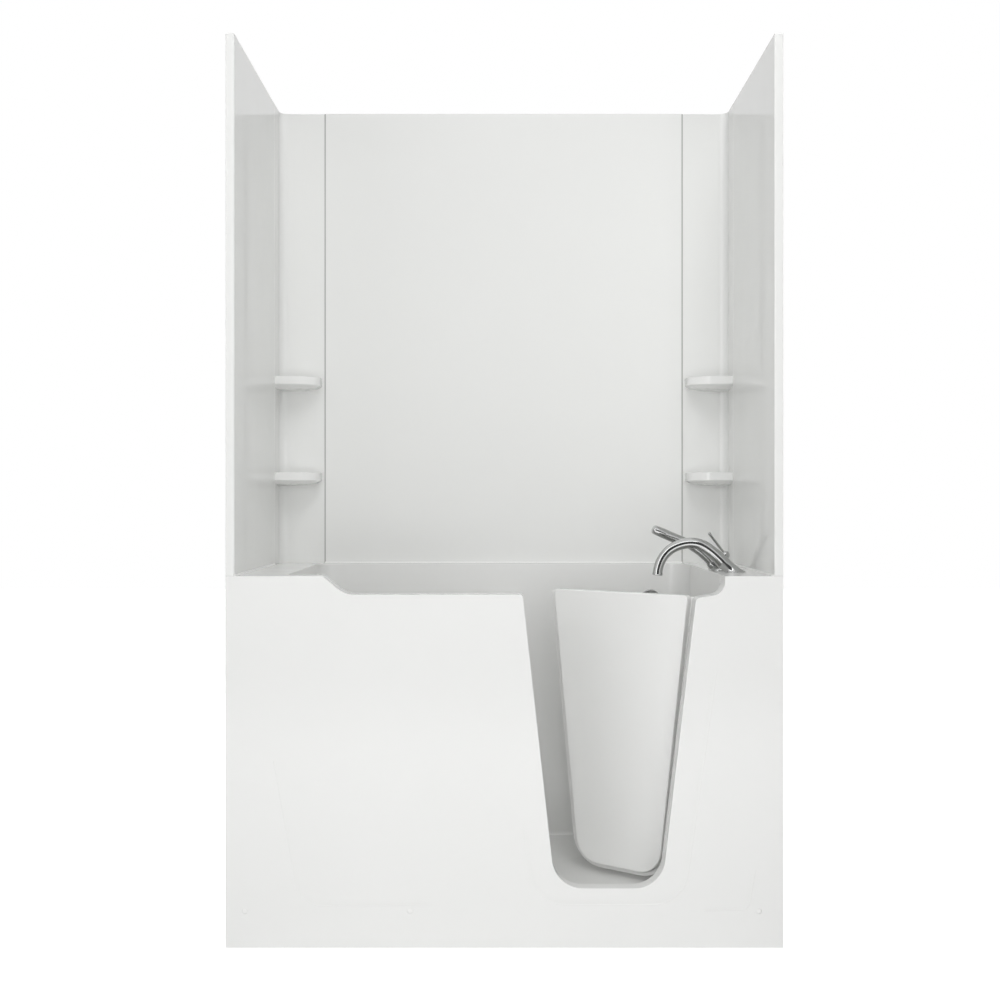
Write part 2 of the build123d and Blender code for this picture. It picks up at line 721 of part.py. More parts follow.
def latch_near():
    """Y of the door's inner face when closed."""
    return FRONT + DOOR_BACK_DEPTH + DOOR_INNER_THICK


def bolt_space(gap):
    """The bolt's bar, drawn back, with room around it."""
    tip = doorway_left(LATCH_HEIGHT) - DOOR_OVERLAP + 2
    near = latch_near() + 3 - gap
    far = latch_near() + 3 + BOLT_THICK + gap
    half = BOLT_WIDTH / 2 + gap
    return block((tip - gap, near, LATCH_HEIGHT - half), (latch_x() - 10 + gap, far, LATCH_HEIGHT + half))


def bolt_reach(gap):
    """The room the bolt sweeps when it is thrown."""
    room = bolt_space(gap)
    return room + Pos(-BOLT_TRAVEL, 0, 0) * room


def latch_housing():
    width, deep, tall = LATCH_BOX
    low = (latch_x() - width / 2, latch_near(), LATCH_HEIGHT - tall / 2)
    high = (latch_x() + width / 2, latch_near() + deep, LATCH_HEIGHT + tall / 2)
    box = block(low, high)
    box = fillet(box.edges().filter_by(Axis.Y), 10)
    guide_low = (doorway_left(LATCH_HEIGHT) - DOOR_OVERLAP + 3, latch_near(), LATCH_HEIGHT - BOLT_WIDTH)
    guide_high = (latch_x() - width / 2, latch_near() + deep, LATCH_HEIGHT + BOLT_WIDTH)
    box += block(guide_low, guide_high)
    box -= bolt_reach(BOLT_GAP)
    hole = rod((latch_x(), latch_near() + 2, LATCH_HEIGHT), (latch_x(), latch_near() + 60, LATCH_HEIGHT),
               LATCH_SPINDLE_R + PIN_GAP)
    return box - hole


def latch_bolt():
    return bolt_space(0)


def latch_handle():
    """Lever and spindle in one piece, hanging down when the bolt is drawn back."""
    outer = latch_near() + LATCH_BOX[1]
    lever_near = outer + LATCH_STAND_OFF
    spindle = rod((latch_x(), latch_near() + 2.5, LATCH_HEIGHT), (latch_x(), lever_near + 2, LATCH_HEIGHT),
                  LATCH_SPINDLE_R)
    profile = outline([
        (-LATCH_HEAD_HALF, LATCH_HEAD_RISE, LATCH_HEAD_R),
        (-LATCH_TIP_HALF, -LATCH_LEVER_LENGTH, LATCH_TIP_R),
        (LATCH_TIP_HALF, -LATCH_LEVER_LENGTH, LATCH_TIP_R),
        (LATCH_HEAD_HALF, LATCH_HEAD_RISE, LATCH_HEAD_R),
    ])
    lever = slab(Pos(latch_x(), LATCH_HEIGHT) * profile, lever_near - FRONT,
                 lever_near - FRONT + LATCH_LEVER_THICK)
    return spindle + fillet(lever.faces().sort_by(Axis.Y)[-1].edges(), 2)


def latch_keeper():
    """Strap on the shell's inner face that the bolt runs behind."""
    high_x = doorway_left(LATCH_HEIGHT) - KEEPER_SHIFT
    low_x = high_x - BOLT_TRAVEL
    half = BOLT_WIDTH / 2 + BOLT_GAP + KEEPER_WALL
    outer = latch_near() + 3 + BOLT_THICK + BOLT_GAP + KEEPER_WALL
    strap = block((low_x, FRONT + RIM_WIDTH, LATCH_HEIGHT - half), (high_x, outer, LATCH_HEIGHT + half))
    return strap - Pos(-BOLT_TRAVEL, 0, 0) * bolt_reach(BOLT_GAP)


# Wall surround

def panel_top():
    return DECK_HEIGHT + SURROUND_HEIGHT


def back_wall_panel():
    """Flat sheet whose side margins lap over the corner panels."""
    face = BACK - BACK_PANEL_THICK
    thin = block((-BACK_PANEL_HALF, face, DECK_HEIGHT), (BACK_PANEL_HALF, BACK - CORNER_SHEET, panel_top()))
    core_half = BACK_PANEL_HALF - PANEL_LAP - PANEL_GAP
    return thin + block((-core_half, face, DECK_HEIGHT), (core_half, BACK, panel_top()))


def end_panel(side):
    """Flat panel on an end of the tub, with a softened front edge; side is -1 or 1."""
    inner = RIGHT - END_PANEL_THICK
    panel = block((inner, FRONT, DECK_HEIGHT), (RIGHT, FRONT + CORNER_LEG_DEPTH - PANEL_GAP, panel_top()))
    front_edge = panel.edges().filter_by(Axis.Z).sort_by(Axis.Y)[:2].sort_by(Axis.X)[:1]
    panel = fillet(front_edge, PANEL_EDGE_R)
    return panel if side > 0 else mirror(panel, Plane.YZ)


def shelf_plan(share):
    """Plan of a corner shelf with a full, rounded front, drawn to a share of its size about the corner."""
    along = SHELF_ALONG_BACK
    deep = SHELF_ALONG_END
    plan = outline([
        (1, 1, 0),
        (1, -deep, 0),
        (-SHELF_FRONT_SHARE * along, SHELF_FRONT_DROP - deep, SHELF_FRONT_R),
        (-along, -SHELF_FRONT_SHARE * deep, SHELF_NOSE_R),
        (-along, 1, 0),
    ])
    return Pos(RIGHT - END_PANEL_THICK, BACK - CORNER_SHEET, 0) * scale(plan, by=share)


def shelf(top):
    """Shelf with a straight lip, a belly that tapers to the wall under it and drainage ribs on it."""
    under = top - SHELF_THICK
    tray = extrude(Pos(0, 0, under) * shelf_plan(1), amount=SHELF_THICK)
    levels = [Pos(0, 0, under - drop) * shelf_plan(share) for drop, share in SHELF_BELLY_STEPS]
    tray += loft(levels, ruled=True)
    for index, length in enumerate(SHELF_RIB_LENGTHS):
        away = SHELF_RIB_START + index * SHELF_RIB_PITCH
        place = Pos(RIGHT - END_PANEL_THICK - away, BACK - CORNER_SHEET - away * SHELF_RIB_SKEW, top)
        tray += place * Rot(0, 0, -SHELF_RIB_TURN) * Box(length, SHELF_RIB_WIDTH, 2 * SHELF_RIB)
    return tray


def corner_panel(side):
    """Coved corner sheet with its two shelves moulded in; side is -1 or 1."""
    back_face = BACK - CORNER_SHEET
    end_face = RIGHT - END_PANEL_THICK
    inner = BACK_PANEL_HALF - PANEL_LAP
    leg_end = FRONT + CORNER_LEG_DEPTH
    plan = outline([
        (inner, back_face, 0),
        (end_face, back_face, COVE_R),
        (end_face, leg_end, 0),
        (end_face + CORNER_SHEET, leg_end, 0),
        (end_face + CORNER_SHEET, BACK, 0),
        (inner, BACK, 0),
    ])
    panel = extrude(Pos(0, 0, DECK_HEIGHT) * plan, amount=SURROUND_HEIGHT)
    for top in SHELF_TOPS:
        panel += shelf(top)
    return panel if side > 0 else mirror(panel, Plane.YZ)


def wall_base_sealant():
    """Three-cornered beads between the deck and the foot of each flat panel."""
    triangle = make_face(Polyline((0, 0), (SEALANT, 0), (0, SEALANT), close=True))
    face_y = BACK - BACK_PANEL_THICK
    back_bead = Pos(-BACK_PANEL_HALF, face_y, DECK_HEIGHT) * (
        Plane(origin=(0, 0, 0), x_dir=(0, -1, 0), z_dir=(-1, 0, 0)) * triangle)
    beads = [extrude(back_bead, amount=2 * BACK_PANEL_HALF, dir=(1, 0, 0))]
    end_bead = Pos(RIGHT - END_PANEL_THICK, FRONT, DECK_HEIGHT) * (
        Plane(origin=(0, 0, 0), x_dir=(-1, 0, 0), z_dir=(0, 1, 0)) * triangle)
    right_bead = extrude(end_bead, amount=CORNER_LEG_DEPTH - 1, dir=(0, 1, 0))
    return beads + [right_bead, mirror(right_bead, Plane.YZ)]


# Base frame and feet

def frame_rails():
    """Four tubes round the base, meeting end to side."""
    low = RAIL_BOTTOM
    high = RAIL_BOTTOM + TUBE
    front_y = FRONT + APRON_THICK
    back_y = FRONT + BACK_RAIL_DEPTH
    left = LEFT + FRAME_INSET
    right = RIGHT - FRAME_INSET
    return [
        rail_with_screws(block((left, front_y, low), (right, front_y + TUBE, high))),
        block((left, back_y, low), (right, back_y + TUBE, high)),
        block((left, front_y + TUBE, low), (left + TUBE, back_y, high)),
        block((right - TUBE, front_y + TUBE, low), (right, back_y, high)),
    ]


def rail_with_screws(rail):
    """Front rail with the holes for the apron's screws."""
    for x in SCREW_PLACES:
        rail -= screw_place(x) * disc(SCREW_R + THREAD_GAP, -OVERCUT, 0)
    return rail


def seat_bearer_places():
    return [LEFT + from_left for from_left in SEAT_BEARERS_FROM_LEFT]


def frame_bearers():
    """Cross tubes that carry the floor of the tub and the pump."""
    top = FLOOR_HEIGHT - SHELL_WALL
    near = FRONT + APRON_THICK + TUBE
    far = FRONT + BACK_RAIL_DEPTH
    places = seat_bearer_places() + [LEFT + FLOOR_BEARER_FROM_LEFT]
    places += [RIGHT - from_right for from_right in FLOOR_BEARERS_FROM_RIGHT]
    return [block((x, near, top - TUBE), (x + TUBE, far, top)) for x in places]


def frame_posts():
    """Uprights from the bearers to the seat and from the rails to the deck."""
    posts = []
    for x in seat_bearer_places():
        for y in (FRONT + SEAT_POST_FROM_FRONT, BACK - SEAT_POST_FROM_BACK):
            low = (x, y, FLOOR_HEIGHT - SHELL_WALL)
            posts.append(block(low, (x + TUBE, y + TUBE, SEAT_HEIGHT - SHELL_WALL)))
    for x in (LEFT + FRAME_INSET, RIGHT - FRAME_INSET - TUBE):
        for y in (FRONT + DECK_POST_FROM_FRONT, BACK - DECK_POST_FROM_BACK):
            low = (x, y, RAIL_BOTTOM + TUBE)
            posts.append(block(low, (x + TUBE, y + TUBE, DECK_HEIGHT - SHELL_WALL)))
    return posts


def foot_points():
    """Places of the feet under the front and back rails."""
    front_y = FRONT + APRON_THICK + TUBE / 2
    back_y = FRONT + BACK_RAIL_DEPTH + TUBE / 2
    places = [LEFT + FEET_FROM_LEFT[0], LEFT + FEET_FROM_LEFT[1], RIGHT - FOOT_FROM_RIGHT]
    return [(x, y) for x in places for y in (front_y, back_y)]


def foot_pad(x, y):
    pad = disc(PAD_R, 0, PAD_THICK)
    pad = fillet(pad.edges().sort_by(Axis.Z)[-1:], PAD_EDGE_R)
    return Pos(x, y, 0) * pad


def leveling_stud(x, y):
    return Pos(x, y, 0) * disc(STUD_R, PAD_THICK, RAIL_BOTTOM)


def stud_locknut(x, y):
    nut = hexagon(NUT_R, RAIL_BOTTOM - NUT_THICK, RAIL_BOTTOM)
    return Pos(x, y, 0) * (nut - disc(STUD_R + THREAD_GAP, 0, RAIL_BOTTOM + 1))


# Places of the fittings on the well's walls, with local Z pointing into the well

def lean_at(height):
    """How far the walls have leant in at a height."""
    return WALL_DRAFT * (DECK_HEIGHT - height) / (DECK_HEIGHT - FLOOR_HEIGHT)


def draft_slope():
    return WALL_DRAFT / (DECK_HEIGHT - FLOOR_HEIGHT)


def left_wall_place(depth, height):
    x = LEFT + LEFT_DECK + lean_at(height)
    return Plane(origin=(x, FRONT + depth, height), x_dir=(0, 1, 0), z_dir=(1, 0, draft_slope())).location


def right_wall_place(depth, height):
    x = RIGHT - RIGHT_DECK - lean_at(height)
    return Plane(origin=(x, FRONT + depth, height), x_dir=(0, 1, 0), z_dir=(-1, 0, draft_slope())).location


def back_wall_place(x, height):
    y = BACK - BACK_LEDGE - lean_at(height)
    return Plane(origin=(x, y, height), x_dir=(1, 0, 0), z_dir=(0, -1, draft_slope())).location


def front_wall_place(x, height):
    return Plane(origin=(x, FRONT + RIM_WIDTH, height), x_dir=(1, 0, 0), z_dir=(0, 1, 0)).location


def drain_place():
    return RIGHT - WASTE_FROM_RIGHT, BACK - DRAIN_FROM_BACK


def overflow_place():
    return back_wall_place(RIGHT - WASTE_FROM_RIGHT, OVERFLOW_HEIGHT)


def jet_places():
    """Six jets: two lumbar, two back, two foot."""
    places = [left_wall_place(depth, LUMBAR_HEIGHT) for depth in LUMBAR_DEPTHS]
    places += [back_wall_place(RIGHT - from_right, BACK_JET_HEIGHT) for from_right in BACK_JETS_FROM_RIGHT]
    places += [right_wall_place(depth, FOOT_JET_HEIGHT) for depth in FOOT_JET_DEPTHS]
    return places


def suction_place():
    nose = LEFT + LEFT_DECK + SEAT_LENGTH
    return Plane(origin=(nose, FRONT + PUMP_DEPTH, PUMP_HEIGHT), x_dir=(0, 1, 0), z_dir=(1, 0, 0)).location


def control_places():
    return [front_wall_place(LEFT + BUTTON_FROM_LEFT, CONTROL_HEIGHT),
            front_wall_place(LEFT + AIR_KNOB_FROM_LEFT, CONTROL_HEIGHT)]


def tap_places():
    """Spout, hand shower holder, diverter and mixer, from the front to the back."""
    return [
        (RIGHT - SPOUT_FROM_RIGHT, FRONT + SPOUT_DEPTH),
        (RIGHT - HOLDER_FROM_RIGHT, FRONT + HOLDER_DEPTH),
        (RIGHT - DIVERTER_FROM_RIGHT, FRONT + DIVERTER_DEPTH),
        (RIGHT - MIXER_FROM_RIGHT, FRONT + MIXER_DEPTH),
    ]


# Waste and overflow

def drain_body():
    """Flange in the floor with a threaded tail, a spigot for the trap and a guide for the stopper's stem."""
    tail_end = DRAIN_TAIL_END - FLOOR_HEIGHT
    body = disc(DRAIN_FLANGE_R, 0, DRAIN_FLANGE_THICK)
    body += disc(DRAIN_TAIL_R, tail_end + SPIGOT_LENGTH, 0)
    body += disc(SPIGOT_R, tail_end, tail_end + SPIGOT_LENGTH)
    body -= disc(DRAIN_BORE_R, tail_end - 1, OVERCUT)
    half = STEM_GUIDE_TALL / 2
    guide = Box(2 * DRAIN_BORE_R + 2, STEM_GUIDE_TALL, STEM_GUIDE_TALL)
    guide += disc(STOPPER_STEM_R + STEM_GUIDE_WALL, -half, half)
    guide -= disc(STOPPER_STEM_R + FIT_GAP, -OVERCUT, OVERCUT)
    body += Pos(0, 0, -STEM_GUIDE_DROP) * guide
    x, y = drain_place()
    body = Pos(x, y, FLOOR_HEIGHT) * body
    return body - rod((x, y, WASTE_RUN_HEIGHT), (x, BACK, WASTE_RUN_HEIGHT), WASTE_PIPE_R + THREAD_GAP)


def drain_locknut():
    x, y = drain_place()
    top = FLOOR_HEIGHT - SHELL_WALL
    nut = hexagon(DRAIN_NUT_R, top - DRAIN_NUT_THICK, top)
    return Pos(x, y, 0) * (nut - disc(DRAIN_TAIL_R + THREAD_GAP, 0, top + 1))


def drain_stopper():
    """Plug on a stem, drawn closed on its flange."""
    x, y = drain_place()
    plug = disc(STOPPER_R, DRAIN_FLANGE_THICK + FIT_GAP, DRAIN_FLANGE_THICK + FIT_GAP + STOPPER_THICK)
    plug = fillet(plug.edges().sort_by(Axis.Z)[-1:], STOPPER_EDGE_R)
    stem_end = -STEM_GUIDE_DROP - STEM_GUIDE_TALL - STOPPER_LIFT
    stem = disc(STOPPER_STEM_R, stem_end, DRAIN_FLANGE_THICK + FIT_GAP)
    return Pos(x, y, FLOOR_HEIGHT) * (plug + stem)


def waste_pipe():
    """Pipe from the drain's side to the wall and up to the overflow, closed at its top."""
    x, y = drain_place()
    wall_y = BACK - WASTE_PIPE_FROM_BACK
    top = OVERFLOW_HEIGHT + 2 * WASTE_PIPE_R
    neck_start = (x, BACK - BACK_LEDGE - lean_at(OVERFLOW_HEIGHT) + SHELL_WALL + 1, OVERFLOW_HEIGHT)
    neck_end = (x, wall_y, OVERFLOW_HEIGHT)
    run = bent_bar(x, y + DRAIN_BORE_R / 2, wall_y, top, WASTE_PIPE_R)
    run += rod(neck_start, neck_end, WASTE_NECK_R)
    run -= bent_bar(x, y, wall_y, top - PIPE_WALL, WASTE_PIPE_R - PIPE_WALL)
    return run - rod(neck_start, neck_end, WASTE_NECK_R - PIPE_WALL)


def bent_bar(x, start_y, wall_y, top, radius):
    """Round bar along the floor to the wall, round a bend and up."""
    low = WASTE_RUN_HEIGHT
    path = FilletPolyline((x, start_y, low), (x, wall_y, low), (x, wall_y, top), radius=WASTE_BEND_R)
    return sweep(Plane(origin=path @ 0, z_dir=path % 0) * Circle(radius), path=path)


def overflow_plate():
    """Round cover plate with its neck through the wall."""
    plate = disc(OVERFLOW_R, 0, OVERFLOW_THICK)
    plate = fillet(plate.edges().sort_by(Axis.Z)[-1:], OVERFLOW_THICK - 1)
    slot = Pos(0, -OVERFLOW_R * 0.7, 0) * Box(OVERFLOW_R / 2, OVERFLOW_THICK, OVERCUT)
    body = plate + disc(OVERFLOW_NECK_R, -SHELL_WALL, 0) - slot
    return overflow_place() * (body - disc(SPINDLE_R + PIN_GAP, -OVERCUT, OVERCUT))


def overflow_knob():
    """Turning knob that works the stopper."""
    knob = disc(KNOB_R, OVERFLOW_THICK + FIT_GAP, OVERFLOW_THICK + FIT_GAP + KNOB_TALL)
    knob = fillet(knob.edges().sort_by(Axis.Z)[-1:], 5)
    wing = Pos(0, 0, OVERFLOW_THICK + KNOB_TALL) * Box(7, 2 * KNOB_R - 4, 8)
    spindle = disc(SPINDLE_R, -SHELL_WALL + 1, OVERFLOW_THICK + FIT_GAP)
    return overflow_place() * (knob + wing + spindle)


# Jets, pump and pipes

def jet_body():
    """Barrel with its flange nut outside the shell; the back is closed."""
    body = disc(JET_BODY_R, -SHELL_WALL - JET_BODY_LENGTH, 0)
    body += disc(JET_FLANGE_R, -SHELL_WALL - JET_FLANGE_THICK - 1.5, -SHELL_WALL - 1.5)
    return body - disc(JET_BORE_R, -SHELL_WALL - JET_BODY_LENGTH + 4, OVERCUT)


def jet_trim_ring():
    ring = disc(JET_RING_R, 0, JET_RING_THICK)
    ring = fillet(ring.edges().sort_by(Axis.Z)[-1:], 3)
    return ring - disc(JET_BORE_R, -1, OVERCUT)


def jet_nozzle():
    """Turning nozzle with an off-centre outlet."""
    nozzle = disc(JET_NOZZLE_R, -JET_NOZZLE_DEEP, JET_NOZZLE_PROUD)
    nozzle = fillet(nozzle.edges().sort_by(Axis.Z)[-1:], 4)
    return nozzle - Pos(JET_OUTLET_OFFSET, 0, 0) * disc(JET_OUTLET_R, -JET_NOZZLE_DEEP + 3, OVERCUT)


def suction_fitting():
    """Perforated guard on the seat's riser with its threaded neck."""
    guard = disc(SUCTION_R, 0, SUCTION_THICK)
    guard = fillet(guard.edges().sort_by(Axis.Z)[-1:], 4)
    guard += disc(PORT_R + PIPE_WALL, -SHELL_WALL - SUCTION_NECK, 0)
    guard -= disc(PORT_R, -SHELL_WALL - SUCTION_NECK - 1, SUCTION_THICK - 3)
    for ring_r, count in SUCTION_HOLE_RINGS:
        for place in PolarLocations(ring_r, count):
            guard -= place * disc(SUCTION_HOLE_R, -1 if ring_r > PORT_R else 0, OVERCUT)
    return suction_place() * guard


def pump_axis(x_from, x_to, radius):
    """Round bar on the pump's axis."""
    y = FRONT + PUMP_DEPTH
    return rod((x_from, y, PUMP_HEIGHT), (x_to, y, PUMP_HEIGHT), radius)


def motor_end():
    """X of the joint between motor and wet end."""
    return PUMP_X + MOTOR_LENGTH


def pump_motor_casing():
    """Ribbed casing, hollow round the rotor, with bearing seats in both end walls and a cable gland."""
    casing = pump_axis(PUMP_X, motor_end(), MOTOR_R)
    for index in range(MOTOR_RIBS):
        x = PUMP_X + (index + 1) * MOTOR_RIB_PITCH
        casing += pump_axis(x, x + MOTOR_RIB_WIDTH, MOTOR_R + MOTOR_RIB_TALL)
    gland_y = FRONT + PUMP_DEPTH
    gland_z = PUMP_HEIGHT + MOTOR_R / 2
    gland_end = PUMP_X - GLAND_LENGTH
    casing += rod((gland_end, gland_y, gland_z), (PUMP_X, gland_y, gland_z), GLAND_R)
    casing -= rod((gland_end - 1, gland_y, gland_z), (PUMP_X - MOTOR_WALL, gland_y, gland_z), GLAND_BORE_R)
    casing -= pump_axis(PUMP_X + 2 * MOTOR_WALL, motor_end() - 2 * MOTOR_WALL, ROTOR_R + ROTOR_ROOM)
    return casing - pump_axis(PUMP_X + MOTOR_WALL, motor_end() + 1, PUMP_SHAFT_R + BEARING_GAP)


def pump_wet_end():
    """Volute with its inlet on the axis and its outlet on top."""
    start = motor_end()
    end = start + VOLUTE_LENGTH
    y = FRONT + PUMP_DEPTH
    volute = pump_axis(start, end, VOLUTE_R)
    volute += pump_axis(end, end + INLET_NECK, PORT_R + PIPE_WALL)
    middle = (start + end) / 2
    top = PUMP_HEIGHT + VOLUTE_R + OUTLET_NECK
    volute += rod((middle, y, PUMP_HEIGHT), (middle, y, top), HEADER_R + OUTLET_WALL)
    volute -= pump_axis(start + VOLUTE_WALL, end - VOLUTE_WALL, VOLUTE_R - VOLUTE_WALL)
    volute -= pump_axis(end - VOLUTE_WALL - 1, end + INLET_NECK + 1, PORT_R)
    volute -= rod((middle, y, PUMP_HEIGHT + IMPELLER_R), (middle, y, top + 1), HEADER_R - PIPE_WALL)
    return volute - pump_axis(start - 1, start + VOLUTE_WALL + 1, PUMP_SHAFT_R + BEARING_GAP)


def pump_rotor():
    """Rotor core, shaft and impeller in one turning piece."""
    start = motor_end()
    rotor = pump_axis(PUMP_X + MOTOR_WALL + 0.5, start + VOLUTE_WALL + IMPELLER_THICK + 9, PUMP_SHAFT_R)
    core_start = PUMP_X + (MOTOR_LENGTH - ROTOR_LENGTH) / 2
    rotor += pump_axis(core_start, core_start + ROTOR_LENGTH, ROTOR_R)
    wheel_start = start + VOLUTE_WALL + IMPELLER_PLATE
    wheel = pump_axis(wheel_start, wheel_start + IMPELLER_PLATE, IMPELLER_R)
    y = FRONT + PUMP_DEPTH
    for index in range(IMPELLER_VANES):
        vane = Pos(wheel_start + (IMPELLER_THICK + IMPELLER_PLATE) / 2, 0, IMPELLER_R / 2) * Box(
            IMPELLER_THICK, VANE_THICK, IMPELLER_R - IMPELLER_PLATE)
        wheel += Pos(0, y, PUMP_HEIGHT) * Rot(index * 360 / IMPELLER_VANES, 0, 0) * vane
    return rotor + wheel


def pump_base():
    """Plate on the bearers with a saddle under each end of the motor."""
    low = FLOOR_HEIGHT - SHELL_WALL
    high = low + PUMP_BASE_THICK
    y = FRONT + PUMP_DEPTH
    start, end = seat_bearer_places()
    base = block((start, y - PUMP_BASE_HALF, low), (end + TUBE, y + PUMP_BASE_HALF, high))
    for x in (PUMP_X + SADDLE_INSET, motor_end() - SADDLE_INSET - SADDLE_THICK):
        top = PUMP_HEIGHT - SADDLE_DROP
        base += block((x, y - SADDLE_HALF, high), (x + SADDLE_THICK, y + SADDLE_HALF, top))
    return base - pump_axis(PUMP_X - 1, motor_end() + 1, MOTOR_R + MOTOR_RIB_TALL + FIT_GAP)


def pump_outlet():
    """Point on top of the pump's wet end."""
    return (motor_end() + VOLUTE_LENGTH / 2, FRONT + PUMP_DEPTH, PUMP_HEIGHT + VOLUTE_R + OUTLET_NECK)


def suction_pipe():
    start = motor_end() + VOLUTE_LENGTH + INLET_NECK
    end = LEFT + LEFT_DECK + SEAT_LENGTH - SHELL_WALL - SUCTION_NECK
    return pump_axis(start, end, PORT_R + PIPE_WALL) - pump_axis(start - 1, end + 1, PORT_R)


def pressure_manifold():
    """Pipe from the pump to the lumbar jets and, behind the well, to the back and foot jets."""
    x, y, z = pump_outlet()
    branch_z = z + HEADER_RISE
    behind = SHELL_WALL + JET_BODY_LENGTH + HEADER_R + HEADER_GAP
    lumbar_x = LEFT + LEFT_DECK + lean_at(LUMBAR_HEIGHT) - behind
    run = pipe_core([
        (x, y, z), (x, y, branch_z), (lumbar_x, y, branch_z), (lumbar_x, y, LUMBAR_HEIGHT)], HEADER_R)
    run += rod((lumbar_x, FRONT + LUMBAR_DEPTHS[0] - HEADER_END, LUMBAR_HEIGHT),
               (lumbar_x, FRONT + LUMBAR_DEPTHS[1] + HEADER_END, LUMBAR_HEIGHT), HEADER_R)
    wall_y = BACK - BACK_HEADER_FROM_BACK
    low_z = BACK_HEADER_HEIGHT
    foot_x = RIGHT - RIGHT_DECK - lean_at(FOOT_JET_HEIGHT) + behind
    foot_y = FRONT + FOOT_JET_DEPTHS[0] - HEADER_END
    run += pipe_core([
        (x, y, branch_z), (x, wall_y, branch_z), (x, wall_y, low_z), (foot_x, wall_y, low_z),
        (foot_x, wall_y, FOOT_JET_HEIGHT), (foot_x, foot_y, FOOT_JET_HEIGHT)], HEADER_R)
    for place in jet_places():
        if place.position.Z != BACK_JET_HEIGHT:
            run += place * disc(BRANCH_R, HEADER_GAP - behind, -SHELL_WALL - JET_BODY_LENGTH)
    for from_right in BACK_JETS_FROM_RIGHT:
        run += back_branch(RIGHT - from_right)
    return run


def back_branch(x):
    """Riser from the back header to the underside of a back jet's barrel."""
    branch_y = BACK - BACK_BRANCH_FROM_BACK
    barrel_drop = (branch_y - back_wall_place(x, BACK_JET_HEIGHT).position.Y) * draft_slope()
    top = BACK_JET_HEIGHT - JET_BODY_R - barrel_drop - BRANCH_GAP
    bend_z = BACK_HEADER_HEIGHT + 4 * BRANCH_R
    return pipe_core([
        (x, BACK - BACK_HEADER_FROM_BACK, BACK_HEADER_HEIGHT), (x, branch_y, bend_z), (x, branch_y, top)],
        BRANCH_R)


# Controls inside the well

def control_body(place):
    """Flanged barrel through the front wall's inner skin."""
    flange = disc(CONTROL_FLANGE_R, 0, CONTROL_FLANGE_THICK)
    barrel = disc(CONTROL_BARREL_R, -CONTROL_BARREL_LENGTH, 0)
    return place * (flange + barrel - disc(BUTTON_R + FIT_GAP, -BUTTON_DEEP - 2 * BUTTON_TRAVEL, OVERCUT))


def control_button(place):
    button = disc(BUTTON_R, -BUTTON_DEEP, CONTROL_FLANGE_THICK + BUTTON_PROUD)
    return place * fillet(button.edges().sort_by(Axis.Z)[-1:], BUTTON_EDGE_R)


def air_control_knob(place):
    top = CONTROL_FLANGE_THICK + AIR_KNOB_TALL
    knob = disc(BUTTON_R, -BUTTON_DEEP, CONTROL_FLANGE_THICK + 2 * FIT_GAP)
    knob += disc(AIR_KNOB_R, CONTROL_FLANGE_THICK + FIT_GAP, top)
    grip = Pos(0, 0, top) * Box(AIR_KNOB_R / 3, 2 * AIR_KNOB_R - 4, AIR_KNOB_R / 2)
    return place * (knob + grip)


# Tap set

def shank(x, y):
    """Threaded tail of a tap through the deck."""
    return Pos(x, y, 0) * disc(SHANK_R, SHANK_END, DECK_HEIGHT)


def tap_locknut(x, y):
    top = DECK_HEIGHT - SHELL_WALL
    nut = hexagon(TAP_NUT_R, top - TAP_NUT_THICK, top)
    return Pos(x, y, 0) * (nut - disc(SHANK_R + THREAD_GAP, 0, top + 1))


def spout_line():
    """Centre line of the spout, from its foot over the arch to the outlet."""
    x, y = tap_places()[0]
    bends = [(x - reach, y, DECK_HEIGHT + rise) for reach, rise in SPOUT_BENDS]
    return Spline(bends, tangents=[SPOUT_LEAVES, SPOUT_ENDS])


def spout():
    line = spout_line()
    sections = []
    for index in range(SPOUT_SECTIONS + 1):
        share = index / SPOUT_SECTIONS
        radius = SPOUT_ROOT_R + (SPOUT_TIP_R - SPOUT_ROOT_R) * share
        sections.append(Plane(origin=line @ share, z_dir=line % share) * Circle(radius))
    arch = loft(sections)
    x, y = tap_places()[0]
    foot = revolved([(0, 0)] + SPOUT_FOOT + [(0, SPOUT_FOOT[-1][1])])
    body = arch + Pos(x, y, DECK_HEIGHT) * foot + shank(x, y)
    tip = line @ 1
    way = line % 1
    return body - rod(tip - way * SPOUT_OUTLET_DEEP, tip + way * OVERCUT, SPOUT_TIP_R - SPOUT_OUTLET_WALL)


def holder_axis(distance):
    """Point on the hand shower's axis, from the middle of the holder's base."""
    x, y = tap_places()[1]
    tilt = math.radians(HOLDER_TILT)
    return Vector(x - distance * math.sin(tilt), y, DECK_HEIGHT + distance * math.cos(tilt))


def hand_shower_holder():
    """Deck base with a tilted cup."""
    x, y = tap_places()[1]
    base = Pos(x, y, DECK_HEIGHT) * disc(HOLDER_BASE_R, 0, HOLDER_BASE_TALL)
    base = fillet(base.edges().sort_by(Axis.Z)[-1:], HOLDER_EDGE_R)
    cup = rod(holder_axis(0), holder_axis(HOLDER_CUP_START + HOLDER_CUP_LENGTH), HOLDER_CUP_R)
    above_deck = block((LEFT, FRONT, DECK_HEIGHT), (RIGHT, BACK, panel_top()))
    bore_end = holder_axis(HOLDER_CUP_START + HOLDER_CUP_LENGTH + OVERCUT)
    bore = rod(holder_axis(HOLDER_CUP_START), bore_end, WAND_R + HANDLE_GAP)
    return base + (cup & above_deck) - bore + shank(x, y)


